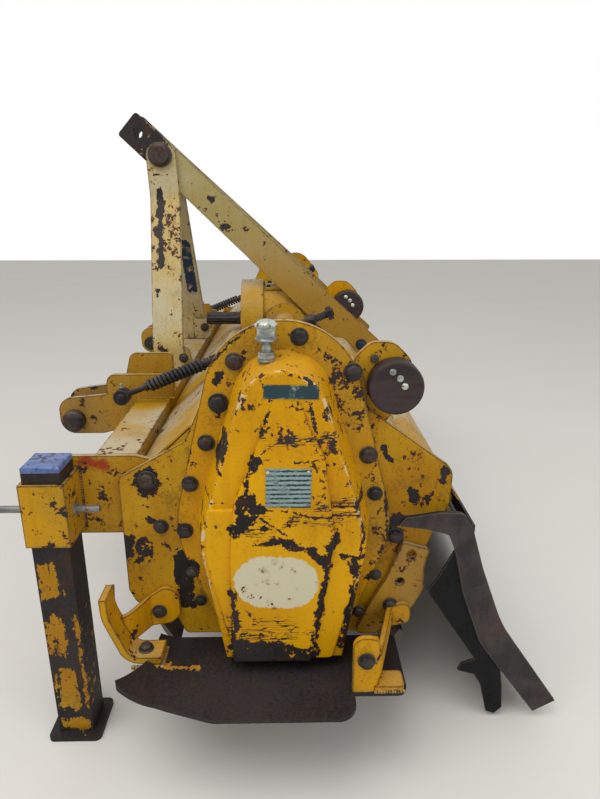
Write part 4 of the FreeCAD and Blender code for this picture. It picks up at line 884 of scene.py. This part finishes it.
# %% Closing strips
HOOD_SLOPE = math.radians(-43)
bpy.ops.object.select_all(action="DESELECT")
bpy.ops.mesh.primitive_cube_add(size=1, location=(-0.7735, 0.1725, 0.532), rotation=(HOOD_SLOPE, 0, 0))
strip = bpy.context.object
strip.scale = (0.005, 0.076, 0.024)
bpy.ops.object.transform_apply()
apply(strip, "BEVEL", width=0.001, segments=2)
strips = join("closing_strips", twins(strip, Matrix.Identity(4)))
drop(strip)
hand_over(strips, hood_paint, "frame")

# %% [markdown]
# Two labels are left on the gear case: a dark strip near its top and a ruled data plate below. Both
# stay blank. A subdivided plane is laid onto the curved cover by a Shrinkwrap projection and then
# given the thickness of tin plate. The rulings of the data plate are lines in its material.

# %% Label finishes
def label_finish(name, ground, mark, pitch):
    """Tin plate with a worn print: ruled lines every pitch metres of height, or none for 0."""
    f = Finish(name)
    blotch = f.score(40.0, 5.0, 0.7)
    fine = f.score(220.0, 3.0)
    tone = f.mix(f.step(blotch, 0.2, 1.6), ground, mark)
    if pitch:
        height = f.add("ShaderNodeSeparateXYZ", {0: f.place}).outputs["Z"]
        wave = f.math("PINGPONG", height, pitch / 2)
        wave = f.math("MULTIPLY_ADD", fine, pitch / 30, wave)
        ruled = f.math("MULTIPLY", f.step(wave, pitch * 0.24, pitch * 0.34), f.step(blotch, 1.6, -0.4))
        tone = f.mix(ruled, tone, colour(34, 50, 58))
    chipped = f.step(f.total((blotch, 0.8), (fine, 0.4), (f.edges(0.003), 1.4)), 1.6, 1.9)
    tone = f.mix(chipped, tone, colour(176, 158, 96))
    relief = f.total((chipped, -0.4), (fine, 0.05))
    return f.set(color=tone, metal=0.1, rough=0.42, normal=f.bump(relief, 0.4, 0.0008), specular=0.4)


strip_finish = label_finish("strip_print", colour(28, 58, 66), colour(60, 92, 96), 0.0)
plate_finish = label_finish("plate_print", colour(138, 160, 158), colour(96, 118, 118), 0.0072)

# %% Labels
def label(name, y, z, wide, high, turn, material):
    """A thin label on the gear case's cover, centred at y and z, in millimetres and degrees."""
    bpy.ops.object.select_all(action="DESELECT")
    bpy.ops.mesh.primitive_grid_add(x_subdivisions=16, y_subdivisions=10, size=1,
                                    location=(-0.95, y / 1000, z / 1000))
    piece = bpy.context.object
    piece.scale = (wide / 1000, high / 1000, 1)
    piece.rotation_euler = (math.radians(90), math.radians(turn), math.radians(-90))
    bpy.ops.object.transform_apply()
    apply(piece, "SHRINKWRAP", target=nodes["gear_case_cover"], wrap_method="PROJECT",
          use_project_x=True, use_project_y=False, use_project_z=False, use_negative_direction=True,
          use_positive_direction=True, offset=0.0005)
    apply(piece, "SOLIDIFY", thickness=0.0008, offset=0.0)
    bpy.ops.object.mode_set(mode="EDIT")
    bpy.ops.mesh.select_all(action="SELECT")
    bpy.ops.mesh.normals_make_consistent(inside=False)
    bpy.ops.object.mode_set(mode="OBJECT")
    low = min(v.co.x for v in piece.data.vertices)
    hand_over(join(name, [piece]), material, "frame")
    print(f"{name} lies at x {low:.4f}")


label("strip_label", -13, 655, 80, 21, 1.0, strip_finish)
label("data_plate", -8, 509, 68, 62, 1.5, plate_finish)
plate_rivets = [copy(rivet, stand((-889, y, z), LEFT, 0, 0.5)) for y in (-38, 22) for z in (482, 536)]
hand_over(join("plate_rivets", plate_rivets), zinc, "frame")
drop(rivet, bolt)

# %% [markdown]
# The studio is a pale floor under a white sky, a large soft lamp on the camera's side and a weaker one
# behind. The floor keeps the machine's shadow. Only what the camera, a glossy or a see-through ray
# meets is the bright background; the light itself comes from a dimmer world and the lamps.

# %% Studio
bpy.ops.mesh.primitive_plane_add(size=14, location=(2.0, 0.0, 0.0))
floor = bpy.context.object
floor.name = "floor"
ground = Finish("pale_floor")
grain = ground.mix(ground.noise(2.0, 3.0), FLOOR, colour(232, 229, 223))
floor.data.materials.append(ground.set(color=grain, rough=0.9, specular=0.1))


def lamp(name, place, target, size, power):
    """A soft square lamp at place that faces target."""
    bpy.ops.object.light_add(type="AREA", location=place)
    light = bpy.context.object
    light.name = name
    light.rotation_euler = (Vector(target) - Vector(place)).to_track_quat("-Z", "Y").to_euler()
    light.data.size = size
    light.data.energy = power


lamp("sky_lamp", (-1.6, 0.9, 3.4), (0.0, 0.0, 0.4), 2.6, 62.0)
lamp("side_lamp", (-2.6, -2.4, 1.8), (-0.4, 0.0, 0.5), 2.0, 16.0)
world = bpy.data.worlds.new("studio")
bpy.context.scene.world = world
world.use_nodes = True
tree = world.node_tree
sky = tree.nodes["Background"]
sky.inputs["Color"].default_value = (1.0, 1.0, 1.0, 1.0)
path = tree.nodes.new("ShaderNodeLightPath")
seen = tree.nodes.new("ShaderNodeMath")
seen.operation = "ADD"
tree.links.new(path.outputs["Is Camera Ray"], seen.inputs[0])
tree.links.new(path.outputs["Is Transmission Ray"], seen.inputs[1])
glossy = tree.nodes.new("ShaderNodeMath")
glossy.operation = "MULTIPLY_ADD"
glossy.inputs[1].default_value = 0.5
tree.links.new(path.outputs["Is Glossy Ray"], glossy.inputs[0])
tree.links.new(seen.outputs[0], glossy.inputs[2])
level = tree.nodes.new("ShaderNodeMapRange")
level.inputs["To Min"].default_value = 0.58
level.inputs["To Max"].default_value = 1.0
tree.links.new(glossy.outputs[0], level.inputs["Value"])
tree.links.new(level.outputs[0], sky.inputs["Strength"])
